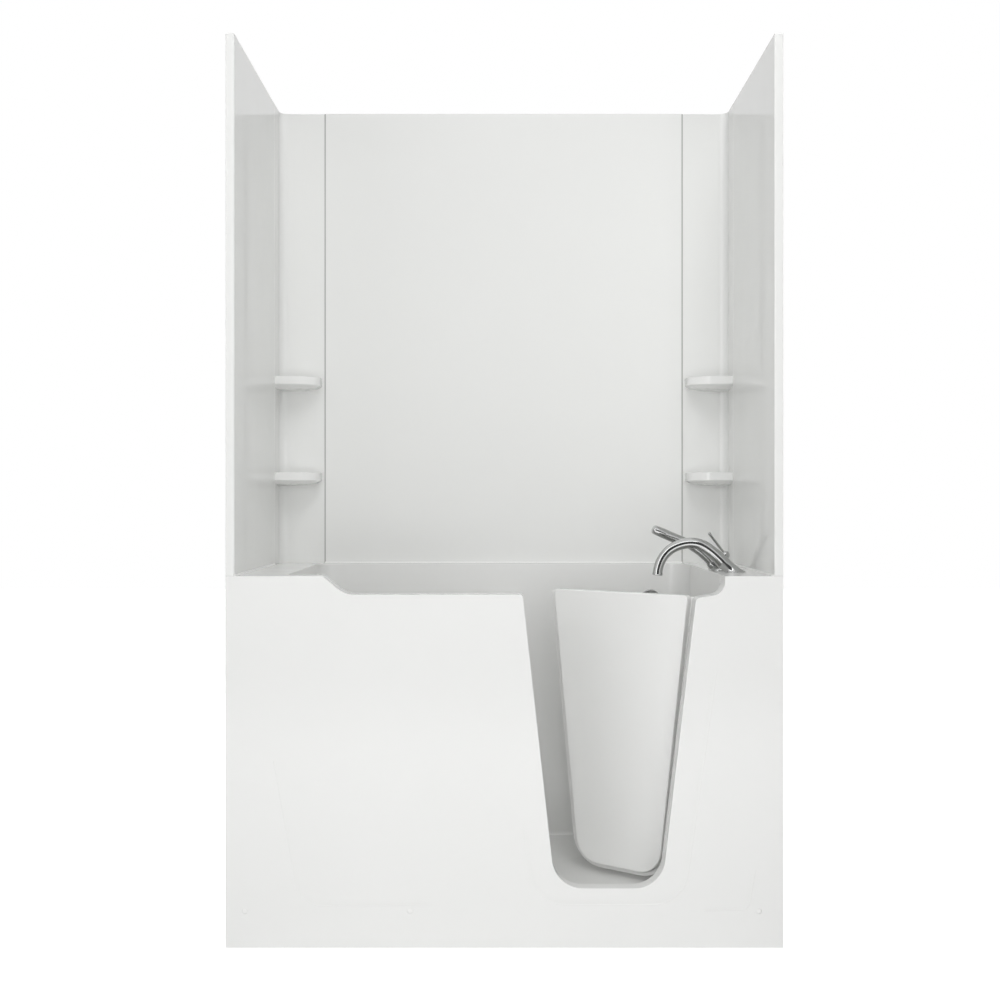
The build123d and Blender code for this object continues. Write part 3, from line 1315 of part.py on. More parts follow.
def hand_shower():
    """Curved wand: round in the holder, flattening into the spray head."""
    start = HOLDER_CUP_START + HANDLE_GAP
    neck = holder_axis(start + WAND_TAIL)
    tail = rod(holder_axis(start), neck, WAND_R)
    x, y = tap_places()[1]
    bends = [(x - reach, y, DECK_HEIGHT + rise) for reach, rise in WAND_BENDS]
    line = Spline([neck] + bends, tangents=[WAND_LEAVES, WAND_ENDS])
    last = len(WAND_SECTIONS) - 1
    sections = []
    for index, (wide, tall) in enumerate(WAND_SECTIONS):
        place = Plane(origin=line @ (index / last), x_dir=(0, 1, 0), z_dir=line % (index / last))
        sections.append(place * Ellipse(wide, tall) if wide > tall else place * Circle(wide))
    return tail + loft(sections)


def mixer_base():
    """Bell-shaped base of the mixer, with its hot and cold inlets under the deck."""
    x, y = tap_places()[3]
    bell = revolved([(0, 0)] + MIXER_BELL + [(0, MIXER_TALL)])
    body = Pos(x, y, DECK_HEIGHT) * bell + shank(x, y)
    arm_z = SHANK_END + INLET_ARM_R + 1
    for side in (-1, 1):
        x_inlet = x + side * INLET_SPREAD
        body += rod((x, y, arm_z), (x_inlet, y, arm_z), INLET_ARM_R)
        body += rod((x_inlet, y, INLET_END), (x_inlet, y, arm_z), INLET_SPIGOT_R)
        body += rod((x_inlet, y, INLET_END + INLET_SPIGOT), (x_inlet, y, arm_z + INLET_R), INLET_R)
    return body


def mixer_centre():
    """Middle of the mixer's ball hub."""
    x, y = tap_places()[3]
    return Vector(x, y, DECK_HEIGHT + MIXER_TALL + MIXER_HUB_R - 1)


def mixer_hub():
    """Ball hub that turns on the bell, with a slot for the lever."""
    centre = mixer_centre()
    ball = Pos(*centre) * Sphere(MIXER_HUB_R)
    floor_z = DECK_HEIGHT + MIXER_TALL + HANDLE_GAP
    keep = block((LEFT, FRONT, floor_z), (RIGHT, BACK, panel_top()))
    slot = Box(LEVER_SLOT_LONG, 2 * (LEVER_R + LEVER_SLOT_GAP), LEVER_SLOT_TALL)
    slot = Pos(centre.X + LEVER_SLOT_SHIFT[0], centre.Y, centre.Z + LEVER_SLOT_SHIFT[1]) * slot
    return (ball & keep) - slot - lever_pin(LEVER_PIN_R + PIN_GAP)


def lever_pin(radius):
    """Round bar across the hub's slot, on the lever's axis."""
    middle = mixer_centre()
    near = middle.Y - LEVER_PIN_HALF
    return rod((middle.X, near, middle.Z), (middle.X, near + 2 * LEVER_PIN_HALF, middle.Z), radius)


def lever_tip(distance):
    """Point on the lever, away from the hub's middle."""
    tilt = math.radians(LEVER_TILT)
    return mixer_centre() + Vector(-distance * math.sin(tilt), 0, distance * math.cos(tilt))


def mixer_lever():
    """Slim lever with a small rounded end, on a cross pin in the hub."""
    blade = rod(lever_tip(0), lever_tip(LEVER_LENGTH), LEVER_R)
    return blade + Pos(*lever_tip(LEVER_LENGTH)) * Sphere(LEVER_R + 1) + lever_pin(LEVER_PIN_R)


def diverter_base():
    x, y = tap_places()[2]
    base = disc(DIVERTER_R, 0, DIVERTER_TALL)
    base = fillet(base.edges().sort_by(Axis.Z)[-1:], DIVERTER_EDGE_R)
    bore = Pos(x, y, DECK_HEIGHT) * disc(SPINDLE_R + PIN_GAP, -2 * DIVERTER_LIFT, OVERCUT)
    return Pos(x, y, DECK_HEIGHT) * base + shank(x, y) - bore


def diverter_knob():
    x, y = tap_places()[2]
    low = DIVERTER_TALL + FIT_GAP
    knob = disc(DIVERTER_KNOB_R, low, low + DIVERTER_KNOB_TALL)
    knob = fillet(knob.edges().sort_by(Axis.Z)[-1:], DIVERTER_EDGE_R)
    return Pos(x, y, DECK_HEIGHT) * (knob + disc(SPINDLE_R, FIT_GAP - 2 * DIVERTER_LIFT, low))


def supply_pipes():
    """Rigid pipe under the deck, with a fitting up to each tap's tail."""
    level = SHANK_END - SUPPLY_DROP
    run = pipe_core([(x, y, level) for x, y in tap_places()], SUPPLY_R)
    for x, y in tap_places():
        run += rod((x, y, level - SUPPLY_FITTING_R), (x, y, SHANK_END), SUPPLY_FITTING_R)
    return run


def compound(solids):
    return Compound(children=list(solids))


def export_parts():
    os.makedirs("parts", exist_ok=True)
    button_place, air_place = control_places()
    parts = {
        "tub_shell": tub_shell(),
        "front_apron": front_apron(),
        "apron_screws": compound(apron_screw(x) for x in SCREW_PLACES),
        "apron_screw_caps": compound(apron_cap(x) for x in SCREW_PLACES),
        "frame_rails": compound(frame_rails()),
        "frame_bearers": compound(frame_bearers()),
        "frame_posts": compound(frame_posts()),
        "leveling_studs": compound(leveling_stud(x, y) for x, y in foot_points()),
        "stud_locknuts": compound(stud_locknut(x, y) for x, y in foot_points()),
        "foot_pads": compound(foot_pad(x, y) for x, y in foot_points()),
        "back_wall_panel": back_wall_panel(),
        "left_corner_panel": corner_panel(-1),
        "right_corner_panel": corner_panel(1),
        "left_end_panel": end_panel(-1),
        "right_end_panel": end_panel(1),
        "wall_base_sealant": compound(wall_base_sealant()),
        "drain_body": drain_body(),
        "drain_stopper": drain_stopper(),
        "waste_pipe": waste_pipe(),
        "overflow_plate": overflow_plate(),
        "overflow_knob": overflow_knob(),
        "jet_bodies": compound(place * jet_body() for place in jet_places()),
        "jet_trim_rings": compound(place * jet_trim_ring() for place in jet_places()),
        "suction_fitting": suction_fitting(),
        "suction_pipe": suction_pipe(),
        "pressure_manifold": pressure_manifold(),
        "pump_motor_casing": pump_motor_casing(),
        "pump_wet_end": pump_wet_end(),
        "pump_rotor": pump_rotor(),
        "pump_base": pump_base(),
        "control_bodies": compound(control_body(place) for place in control_places()),
        "start_button": control_button(button_place),
        "air_control_knob": air_control_knob(air_place),
        "spout": spout(),
        "hand_shower_holder": hand_shower_holder(),
        "hand_shower": hand_shower(),
        "mixer_base": mixer_base(),
        "mixer_hub": mixer_hub(),
        "mixer_lever": mixer_lever(),
        "diverter_base": diverter_base(),
        "diverter_knob": diverter_knob(),
        "fitting_locknuts": compound([drain_locknut()] + [tap_locknut(x, y) for x, y in tap_places()]),
        "supply_pipes": supply_pipes(),
        "fixed_hinge_leaves": compound(fixed_hinge_leaf(z) for z in HINGE_HEIGHTS),
        "hinge_pins": compound(hinge_pin(z) for z in HINGE_HEIGHTS),
        "latch_keeper": latch_keeper(),
        "door_outer_skin": swing_open(door_outer_skin()),
        "door_inner_skin": swing_open(door_inner_skin()),
        "door_frame": swing_open(door_frame()),
        "door_seal": swing_open(door_seal()),
        "door_hinge_leaves": compound(swing_open(door_hinge_leaf(z)) for z in HINGE_HEIGHTS),
        "latch_housing": swing_open(latch_housing()),
        "latch_handle": swing_open(latch_handle()),
        "latch_bolt": swing_open(latch_bolt()),
    }
    for number, place in enumerate(jet_places(), start=1):
        parts["jet_nozzle_" + str(number)] = place * jet_nozzle()
    for name, shape in parts.items():
        export_step(shape, "parts/" + name + ".step")


export_parts()
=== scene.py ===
"""Walk-in bathtub with jets, an inward-swinging door and a five-piece wall surround.

Metres. X runs to the right along the apron, Y from the apron to the back wall, Z up from the floor.
"""
import math

import bmesh
import bpy
import numpy as np
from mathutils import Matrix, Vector


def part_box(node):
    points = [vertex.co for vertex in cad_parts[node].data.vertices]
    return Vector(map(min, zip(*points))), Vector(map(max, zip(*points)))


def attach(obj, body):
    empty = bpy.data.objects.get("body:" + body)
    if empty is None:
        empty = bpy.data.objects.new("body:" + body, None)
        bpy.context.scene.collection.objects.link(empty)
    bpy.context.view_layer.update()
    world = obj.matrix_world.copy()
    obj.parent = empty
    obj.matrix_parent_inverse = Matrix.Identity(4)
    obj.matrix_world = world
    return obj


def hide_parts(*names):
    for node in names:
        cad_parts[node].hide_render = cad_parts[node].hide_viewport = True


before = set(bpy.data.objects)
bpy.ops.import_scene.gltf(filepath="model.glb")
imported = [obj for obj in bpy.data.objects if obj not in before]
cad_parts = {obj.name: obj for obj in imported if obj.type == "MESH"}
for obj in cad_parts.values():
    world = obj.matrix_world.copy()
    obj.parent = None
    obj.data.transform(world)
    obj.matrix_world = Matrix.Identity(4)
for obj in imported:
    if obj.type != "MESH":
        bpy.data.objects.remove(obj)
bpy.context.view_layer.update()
scene = bpy.context.scene


# Camera: a catalogue picture, taken square to the apron from about 3.6 m with a slightly long lens, at
# the height of the lower shelves.
lens = bpy.data.cameras.new("catalogue_camera")
lens.sensor_width = 36.0
lens.lens = 47.405
camera = bpy.data.objects.new("catalogue_camera", lens)
camera.location = (-0.012, -3.978, 1.224)
camera.rotation_euler = (math.radians(90), 0, 0)
scene.collection.objects.link(camera)
scene.camera = camera


# Base frame: square stainless tube, sawn, welded end to side and wire-brushed. The rails run round the
# base, the bearers carry the tub's floor, and the posts stand under the seat and the deck.
TUBE_CORNER = 0.003


class Varying:
    """An output of a node. Arithmetic on it adds Math nodes to its tree."""

    def __init__(self, graph, socket):
        self.graph = graph
        self.socket = socket

    def math(self, operation, first, second):
        return self.graph.node("ShaderNodeMath", {"operation": operation}, {0: first, 1: second})

    def __add__(self, other):
        return self.math("ADD", self, other)

    def __radd__(self, other):
        return self.math("ADD", other, self)

    def __sub__(self, other):
        return self.math("SUBTRACT", self, other)

    def __rsub__(self, other):
        return self.math("SUBTRACT", other, self)

    def __mul__(self, other):
        return self.math("MULTIPLY", self, other)

    def __rmul__(self, other):
        return self.math("MULTIPLY", other, self)


class Graph:
    """A tree of shader nodes, of a material or of the world."""

    def __init__(self, tree):
        self.tree = tree

    def join(self, value, socket):
        """Links a varying value to a socket, or writes a plain one on it."""
        if isinstance(value, Varying):
            self.tree.links.new(value.socket, socket)
        elif socket.type == "RGBA":
            socket.default_value = (*value, 1.0)
        else:
            socket.default_value = value

    def node(self, kind, settings, sockets, output=0):
        """Adds a node: its settings first, then the values or links of its sockets."""
        made = self.tree.nodes.new(kind)
        for name, value in settings.items():
            setattr(made, name, value)
        for name, value in sockets.items():
            self.join(value, made.inputs[name])
        return Varying(self, made.outputs[output])

    def mixed(self, share, first, second, output):
        """Sends two shaders to an output node, mixed by a share that is 0 for the first."""
        mix = self.node("ShaderNodeMixShader", {}, {0: share, 1: first, 2: second})
        self.join(mix, self.tree.nodes[output].inputs["Surface"])


class Finish(Graph):
    """A material: one Principled shader and the nodes that vary it over the surface."""

    def __init__(self, name, **plain):
        self.material = bpy.data.materials.new(name)
        self.material.use_nodes = True
        super().__init__(self.material.node_tree)
        self.shader = self.tree.nodes["Principled BSDF"]
        self.where = self.node("ShaderNodeTexCoord", {}, {}, "Object")
        self.set(**plain)

    def set(self, **sockets):
        """Gives the shader's sockets their values or links; an underscore stands for a space."""
        for name, value in sockets.items():
            self.join(value, self.shader.inputs[name.replace("_", " ")])

    def noise(self, scale, detail=2.0, stretch=(1.0, 1.0, 1.0)):
        """Fractal noise from 0 to 1, in cycles a metre, with each axis scaled by its stretch."""
        where = self.node("ShaderNodeMapping", {}, {"Vector": self.where, "Scale": stretch})
        return self.node("ShaderNodeTexNoise", {}, {"Vector": where, "Scale": scale, "Detail": detail})

    def line(self, axis, place, width):
        """Share that is 1 on a plane square to an axis and falls to 0 at a distance on both sides."""
        parts = self.node("ShaderNodeSeparateXYZ", {}, {"Vector": self.where}, axis)
        away = self.node("ShaderNodeMath", {"operation": "ABSOLUTE"}, {0: parts - place})
        settings = {"operation": "SUBTRACT", "use_clamp": True}
        return self.node("ShaderNodeMath", settings, {0: 1.0, 1: away * (1 / width)})

    def blend(self, share, low, high):
        """Colour between two colours, by a varying share."""
        settings = {"data_type": "RGBA"}
        return self.node("ShaderNodeMix", settings, {0: share, 6: low, 7: high}, 2)

    def bump(self, height, distance):
        """Normal of a surface raised by a varying height, times a distance in metres."""
        return self.node("ShaderNodeBump", {}, {"Height": height, "Distance": distance})


def metal(name, light, dark, roughness, grain, stretch=(1.0, 1.0, 1.0), depth=0.0001):
    """Bare metal: its tone and gloss drift together along a stretched grain."""
    finish = Finish(name, Metallic=1.0)
    streak = finish.noise(grain, 4.0, stretch)
    cloud = finish.noise(9.0)
    finish.set(Base_Color=finish.blend(streak * 0.7 + cloud * 0.3, dark, light))
    finish.set(Roughness=roughness + cloud * 0.08 + streak * 0.05, Normal=finish.bump(streak, depth))
    return finish.material


def merged(node):
    """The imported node's loose triangles as one closed shape: doubles merged, flat facets joined."""
    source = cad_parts[node].data
    corners = np.empty(len(source.vertices) * 3)
    source.vertices.foreach_get("co", corners)
    source.calc_loop_triangles()
    triangles = np.empty(len(source.loop_triangles) * 3, np.int32)
    source.loop_triangles.foreach_get("vertices", triangles)
    mesh = bpy.data.meshes.new(node)
    mesh.from_pydata(corners.reshape(-1, 3), [], triangles.reshape(-1, 3))
    shape = bmesh.new()
    shape.from_mesh(mesh)
    bmesh.ops.remove_doubles(shape, verts=shape.verts, dist=2e-6)
    bmesh.ops.dissolve_limit(shape, angle_limit=math.radians(0.4), verts=shape.verts, edges=shape.edges)
    shape.to_mesh(mesh)
    shape.free()
    return mesh


def finished(name, mesh, body, slot, material, *nodes):
    """Puts a mesh in the scene as a smooth piece that rides on a body and stands for its nodes."""
    mesh.polygons.foreach_set("use_smooth", np.ones(len(mesh.polygons), bool))
    mesh.materials.clear()
    mesh.materials.append(material)
    piece = bpy.data.objects.new(name, mesh)
    scene.collection.objects.link(piece)
    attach(piece, body)
    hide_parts(*nodes)
    return piece


def rolled(node, body, slot, material, roll, steps=2, sharper_than=32):
    """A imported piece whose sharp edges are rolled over: a bevel of that radius on its merged shape."""
    piece = finished(node + "_finished", merged(node), body, slot, material, node)
    piece.data.set_sharp_from_angle(angle=math.radians(sharper_than))
    bevel = piece.modifiers.new("roll", "BEVEL")
    bevel.width = roll
    bevel.segments = steps
    bevel.limit_method = "ANGLE"
    bevel.angle_limit = math.radians(sharper_than)
    bevel.harden_normals = True
    return piece


STEEL_LIGHT = (0.62, 0.63, 0.64)
STEEL_DARK = (0.5, 0.51, 0.52)
STEEL = metal("brushed_tube_steel", STEEL_LIGHT, STEEL_DARK, 0.3, 60.0)
UPRIGHT_STEEL = metal("brushed_post_steel", STEEL_LIGHT, STEEL_DARK, 0.3, 160.0, (1.0, 1.0, 0.04))
rolled("frame_rails", "tub", "frame_steel", STEEL, TUBE_CORNER)
rolled("frame_bearers", "tub", "frame_steel", STEEL, TUBE_CORNER)
rolled("frame_posts", "tub", "frame_steel", UPRIGHT_STEEL, TUBE_CORNER)


# Levelling feet: six threaded studs screwed up into the rails, each with a locknut under the rail and a
# ribbed rubber pad pressed on its lower end.
THREAD_PITCH = 0.003
THREAD_DEPTH = 0.0007
THREAD_COLUMNS = 24
ROWS_A_TURN = 6
PAD_RIBS = 5
RIB_HEIGHT = 0.0006


def gridded(name, points):
    """Closed mesh over a grid of points: rows run along the shape, and each row is a closed ring.
    The first and the last row are each closed by a fan to their middle."""
    rows, columns = points.shape[:2]
    ring = np.arange(rows * columns).reshape(rows, columns)
    ahead = np.roll(ring, -1, axis=1)
    quads = np.stack([ring[:-1], ahead[:-1], ahead[1:], ring[1:]], -1).reshape(-1, 4).tolist()
    corners = np.vstack([points.reshape(-1, 3), points[[0, -1]].mean(axis=1)])
    first = np.full(columns, rows * columns)
    quads += np.stack([ahead[0], ring[0], first], -1).tolist()
    quads += np.stack([ring[-1], ahead[-1], first + 1], -1).tolist()
    mesh = bpy.data.meshes.new(name)
    mesh.from_pydata(corners, [], quads)
    return mesh


def closed(*meshes):
    """Joins meshes into one, merges their doubles and turns every face outwards."""
    shape = bmesh.new()
    for mesh in meshes:
        shape.from_mesh(mesh)
    bmesh.ops.remove_doubles(shape, verts=shape.verts, dist=1e-6)
    bmesh.ops.dissolve_degenerate(shape, edges=shape.edges, dist=1e-7)
    bmesh.ops.recalc_face_normals(shape, faces=shape.faces)
    shape.to_mesh(meshes[0])
    shape.free()
    return meshes[0]


def turned(profile, origin, axis=(0.0, 0.0, 1.0), columns=48):
    """Grid of a profile turned about an axis. The profile's rows are (radius, height along the axis),
    and a radius may be an array over the columns."""
    along = np.array(Vector(axis).normalized())
    across = np.array(Vector(axis).orthogonal().normalized())
    third = np.cross(along, across)
    angle = np.linspace(0, 2 * np.pi, columns, endpoint=False)
    radius = profile[:, 0][:, None] if profile.ndim == 2 else profile[..., 0]
    height = profile[:, 1][:, None] if profile.ndim == 2 else profile[..., 1]
    spread = radius[..., None] * (np.cos(angle)[:, None] * across + np.sin(angle)[:, None] * third)
    return np.asarray(origin) + spread + height[..., None] * along


def smooth_line(points, count):
    """Points spread along a smooth line through the given ones: between each pair runs the
    Catmull-Rom cubic, and both ends are continued straight."""
    points = np.asarray(points, float)
    padded = np.vstack([2 * points[0] - points[1], points, 2 * points[-1] - points[-2]])
    reach = np.linspace(0, len(points) - 1, count)
    first = np.minimum(reach.astype(int), len(points) - 2)
    share = (reach - first)[:, None]
    a, b, c, d = (padded[first + step] for step in range(4))
    slope = (c - a) * share
    bend = (2 * a - 5 * b + 4 * c - d) * share ** 2
    turn = (3 * b - a - 3 * c + d) * share ** 3
    return (2 * b + slope + bend + turn) / 2


def places(node):
    """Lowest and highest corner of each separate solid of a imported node, in the order of X."""
    shape = bmesh.new()
    shape.from_mesh(merged(node))
    found = []
    left = set(shape.verts)
    while left:
        start = left.pop()
        group = {start}
        edge = [start]
        while edge:
            vertex = edge.pop()
            for link in vertex.link_edges:
                other = link.other_vert(vertex)
                if other in left:
                    left.discard(other)
                    group.add(other)
                    edge.append(other)
        corners = np.array([vertex.co for vertex in group])
        found.append((corners.min(0), corners.max(0)))
    shape.free()
    return sorted(found, key=lambda box: (box[0][0], box[0][1]))


rubber = Finish("foot_rubber", Base_Color=(0.035, 0.035, 0.037), Roughness=0.7)
rubber.set(Roughness=0.55 + rubber.noise(40.0) * 0.3, Normal=rubber.bump(rubber.noise(900.0), 0.0002))
ZINC = metal("stainless_fastener", (0.7, 0.7, 0.71), (0.58, 0.58, 0.6), 0.22, 300.0)

pads = []
for low, high in places("foot_pads"):
    tall = high[2] - low[2]
    radius = (high[0] - low[0]) / 2
    share = np.linspace(0, 1, 40)
    rib = RIB_HEIGHT * np.cos(2 * np.pi * PAD_RIBS * share)
    side = radius - 0.0012 - 0.002 * share + rib
    profile = np.vstack([[(0, 0), (radius - 0.003, 0)], np.stack([side, share * tall * 0.82 + 0.001], -1),
                         [(radius * 0.7, tall - 0.0006), (radius * 0.45, tall), (0, tall)]])
    middle = ((low[0] + high[0]) / 2, (low[1] + high[1]) / 2, 0)
    pads.append(gridded("pad", turned(profile, middle, columns=40)))
finished("levelling_pads", closed(*pads), "tub", "foot_rubber", rubber.material, "foot_pads")

studs = []
for low, high in places("leveling_studs"):
    radius = (high[0] - low[0]) / 2
    height = np.arange(0, high[2] - low[2], THREAD_PITCH / ROWS_A_TURN)
    turn = np.arange(THREAD_COLUMNS) / THREAD_COLUMNS
    phase = (height[:, None] / THREAD_PITCH - turn) % 1.0
    tooth = 1 - np.abs(2 * phase - 1)
    radii = radius - THREAD_DEPTH * (1 - tooth)
    profile = np.stack([radii, np.repeat((height + low[2])[:, None], THREAD_COLUMNS, 1)], -1)
    middle = ((low[0] + high[0]) / 2, (low[1] + high[1]) / 2, 0)
    studs.append(gridded("stud", turned(profile, middle, columns=THREAD_COLUMNS)))
finished("levelling_studs", closed(*studs), "tub", "fastener_steel", ZINC, "leveling_studs")
rolled("stud_locknuts", "tub", "fastener_steel", ZINC, 0.0008)


# Tub shell: one sprayed moulding with the deck, the lowered front rim, the doorway, the well and the
# seat. Its skin is polished white gelcoat, and every edge that a hand meets is rolled over in the mould.
def gloss_white(name, light, shade, roughness, peel):
    """White moulded gloss: the colour drifts slightly, and fine orange peel lies on long waves."""
    finish = Finish(name, IOR=1.49)
    finish.set(Base_Color=finish.blend(finish.noise(2.2), shade, light))
    finish.set(Roughness=roughness + finish.noise(9.0) * 0.04)
    finish.set(Normal=finish.bump(finish.noise(260.0) * peel + finish.noise(4.0), 0.0006))
    return finish.material


GELCOAT = gloss_white("gelcoat", (0.815, 0.818, 0.806), (0.805, 0.808, 0.796), 0.13, 0.02)
rolled("tub_shell", "tub", "shell", GELCOAT, 0.004, 3)


# Front apron: a thin sheet of the same moulding with shallow moulded lines, held to the front rail by
# three screws under snap-in caps.
rolled("front_apron", "tub", "shell", GELCOAT, 0.0015)
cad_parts["apron_screws"].data.materials[0] = ZINC

CAP_WHITE = gloss_white("cap_plastic_gloss", (0.86, 0.86, 0.85), (0.84, 0.84, 0.83), 0.2, 0.0)
caps = []
for low, high in places("apron_screw_caps"):
    radius = (high[0] - low[0]) / 2
    thick = high[1] - low[1]
    profile = smooth_line([(0, thick), (radius * 0.55, thick * 0.97), (radius * 0.8, thick * 0.72),
                           (radius * 0.9, thick * 0.55), (radius, thick * 0.35), (radius, 0)], 24)
    middle = ((low[0] + high[0]) / 2, high[1], (low[2] + high[2]) / 2)
    caps.append(gridded("cap", turned(profile, middle, (0, -1, 0))))
finished("snap_in_caps", closed(*caps), "tub", "cap_plastic", CAP_WHITE, "apron_screw_caps")


# Waste and overflow: a chromed brass flange in the floor with its stopper, a white pipe to the overflow,
# and a chromed cover plate whose winged knob works the stopper through a cable.
CHROME = metal("polished_chrome", (0.52, 0.525, 0.52), (0.47, 0.475, 0.47), 0.04, 30.0, depth=0.00001)
PIPE_WHITE = gloss_white("white_pipe", (0.78, 0.78, 0.76), (0.73, 0.73, 0.71), 0.32, 0.3)
rolled("drain_body", "tub", "chrome", CHROME, 0.0006)
rolled("drain_stopper", "drain_stopper", "chrome", CHROME, 0.0006)
rolled("waste_pipe", "tub", "pipe_plastic", PIPE_WHITE, 0.0005)
rolled("overflow_plate", "tub", "chrome", CHROME, 0.0008)
rolled("overflow_knob", "overflow_knob", "chrome", CHROME, 0.0012, 3)


# Jets: six moulded bodies clamped through the wall by their trim rings, each with a turning nozzle whose
# outlet is off centre. One header feeds them from the pump.
JET_WHITE = gloss_white("jet_plastic_gloss", (0.83, 0.83, 0.82), (0.81, 0.81, 0.8), 0.2, 0.05)
rolled("jet_bodies", "tub", "pipe_plastic", PIPE_WHITE, 0.0006)
rolled("jet_trim_rings", "tub", "jet_plastic", JET_WHITE, 0.0006)
for number in range(1, 7):
    nozzle = "jet_nozzle_" + str(number)
    rolled(nozzle, nozzle, "jet_plastic", JET_WHITE, 0.0006)
rolled("pressure_manifold", "tub", "pipe_plastic", PIPE_WHITE, 0.0005)


# Pump: a finned motor and a black moulded wet end on a plate across the bearers. It draws from a
# perforated guard in the seat's riser.
casing = Finish("motor_paint", Roughness=0.45)
casing.set(Base_Color=casing.blend(casing.noise(30.0), (0.085, 0.092, 0.1), (0.11, 0.118, 0.128)))
casing.set(Roughness=0.36 + casing.noise(18.0) * 0.2, Normal=casing.bump(casing.noise(420.0), 0.00025))
moulding = Finish("black_moulded_plastic", Roughness=0.5)
moulding.set(Base_Color=moulding.blend(moulding.noise(24.0), (0.028, 0.028, 0.03), (0.042, 0.042, 0.045)))
moulding.set(Roughness=0.42 + moulding.noise(60.0) * 0.2)
moulding.set(Normal=moulding.bump(moulding.noise(1200.0), 0.0002))
ROTOR = metal("machined_rotor_steel", (0.56, 0.56, 0.57), (0.42, 0.42, 0.43), 0.28, 400.0,
              (0.05, 1.0, 1.0))
rolled("pump_motor_casing", "tub", "motor_paint", casing.material, 0.0008)
rolled("pump_wet_end", "tub", "pump_plastic", moulding.material, 0.001)
rolled("pump_base", "tub", "pump_plastic", moulding.material, 0.0012)
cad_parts["pump_rotor"].data.materials[0] = ROTOR
rolled("suction_fitting", "tub", "jet_plastic", JET_WHITE, 0.0005)
rolled("suction_pipe", "tub", "pipe_plastic", PIPE_WHITE, 0.0005)


# Controls on the inside of the front wall: a push button that starts the pump and a knob that lets air
# into the jets, each in a white flanged body.
rolled("control_bodies", "tub", "jet_plastic", JET_WHITE, 0.0006)
rolled("start_button", "start_button", "chrome", CHROME, 0.0005)
rolled("air_control_knob", "air_control_knob", "chrome", CHROME, 0.0008)


# Spout: a bent and tapered brass tube that swells out of a bell-mouthed foot, polished and chromed, with
# a shank through the deck and a hollow outlet.
DECK_TOP = 1.016
ALONG_Y = (0.0, 1.0, 0.0)
SPOUT_LINE = [(0.4405, 1.008), (0.4425, 1.025), (0.4490, 1.046), (0.4595, 1.064), (0.476, 1.0805),
              (0.4975, 1.0925), (0.526, 1.0998), (0.553, 1.0985), (0.576, 1.0895), (0.598, 1.0745),
              (0.618, 1.0565), (0.632, 1.0425)]
SPOUT_RADII = [(0.0, 0.0140), (0.02, 0.0148), (0.05, 0.0140), (0.3, 0.0139), (0.55, 0.0154), (0.8, 0.0172),
               (1.0, 0.0188)]
SPOUT_ROWS = 90
SPOUT_COLUMNS = 56
SPOUT_WALL = 0.0022
BORE_ROWS = 9
FOOT_RADIUS = 0.031
FOOT_LIP = 0.0016


def carried(path, profile, side):
    """Grid of a closed profile carried along a path. The profile's two numbers are its reach along the
    side direction and square to both side and path; it may differ from row to row."""
    path = np.asarray(path, float)
    tangent = np.gradient(path, axis=0)
    tangent /= np.linalg.norm(tangent, axis=1)[:, None]
    up = np.cross(tangent, side)
    up /= np.linalg.norm(up, axis=1)[:, None]
    profile = np.broadcast_to(profile, (len(path),) + profile.shape[-2:])
    return path[:, None] + profile[..., :1] * np.asarray(side, float) + profile[..., 1:] * up[:, None]


def ovals(wide, tall, columns=40):
    """Ovals as profiles, one for each pair of half widths."""
    angle = np.linspace(0, 2 * np.pi, columns, endpoint=False)
    wide = np.asarray(wide, float).reshape(-1, 1)
    tall = np.asarray(tall, float).reshape(-1, 1)
    return np.stack([wide * np.cos(angle), tall * np.sin(angle)], -1)


def level_path(line, depth, count):
    """A line in X and Z, smoothed, at one depth Y."""
    flat = smooth_line(line, count)
    return np.stack([flat[:, 0], np.full(count, depth), flat[:, 1]], -1)


def bell(ring, leaving, middle, radius, rows=24):
    """Grid from a tube's last ring to a level circle: each point follows the cubic that leaves along the
    tube and arrives mostly outwards and a little downwards, both as strongly as its way is long."""
    angle = np.arctan2(ring[:, 1] - middle[1], ring[:, 0] - ring[:, 0].mean())
    outwards = np.stack([np.cos(angle), np.sin(angle), np.zeros(len(ring))], -1)
    last = np.asarray(middle) + radius * outwards
    way = np.linalg.norm(last - ring, axis=1)[:, None]
    start = np.asarray(leaving) * way
    end = (outwards * 0.6 - (0.0, 0.0, 0.25)) * way
    share = np.linspace(0, 1, rows)[:, None, None]
    first_part = (2 * share ** 3 - 3 * share ** 2 + 1) * ring + (share ** 3 - 2 * share ** 2 + share) * start
    last_part = (3 * share ** 2 - 2 * share ** 3) * last + (share ** 3 - share ** 2) * end
    return first_part + last_part


low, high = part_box("spout")
spout_depth = (low.y + high.y) / 2
spout_foot = (high.x - FOOT_RADIUS, spout_depth, DECK_TOP)
path = level_path(SPOUT_LINE, spout_depth, SPOUT_ROWS)
share = np.linspace(0, 1, SPOUT_ROWS)
radii = np.interp(share, *np.transpose(SPOUT_RADII))
arch = carried(path, ovals(radii, radii, SPOUT_COLUMNS), ALONG_Y)
leaving = (path[-1] - path[-2]) / np.linalg.norm(path[-1] - path[-2])
lip = (spout_foot[0], spout_foot[1], spout_foot[2] + FOOT_LIP)
flare = bell(arch[-1], leaving, lip, FOOT_RADIUS)
narrow = radii[:BORE_ROWS] - SPOUT_WALL
bore = carried(path[:BORE_ROWS], ovals(narrow, narrow, SPOUT_COLUMNS), ALONG_Y)[::-1]
under = flare[-1:] - (0.0, 0.0, FOOT_LIP)
arch = gridded("arch", np.concatenate([bore, arch, flare[1:], under]))
shank_profile = np.array([(0.0, -0.036), (0.0095, -0.036), (0.01, -0.0352), (0.01, 0.0005), (0.0, 0.0005)])
shank = gridded("shank", turned(shank_profile, spout_foot, columns=32))
finished("chrome_spout", closed(arch, shank), "tub", "chrome", CHROME, "spout")


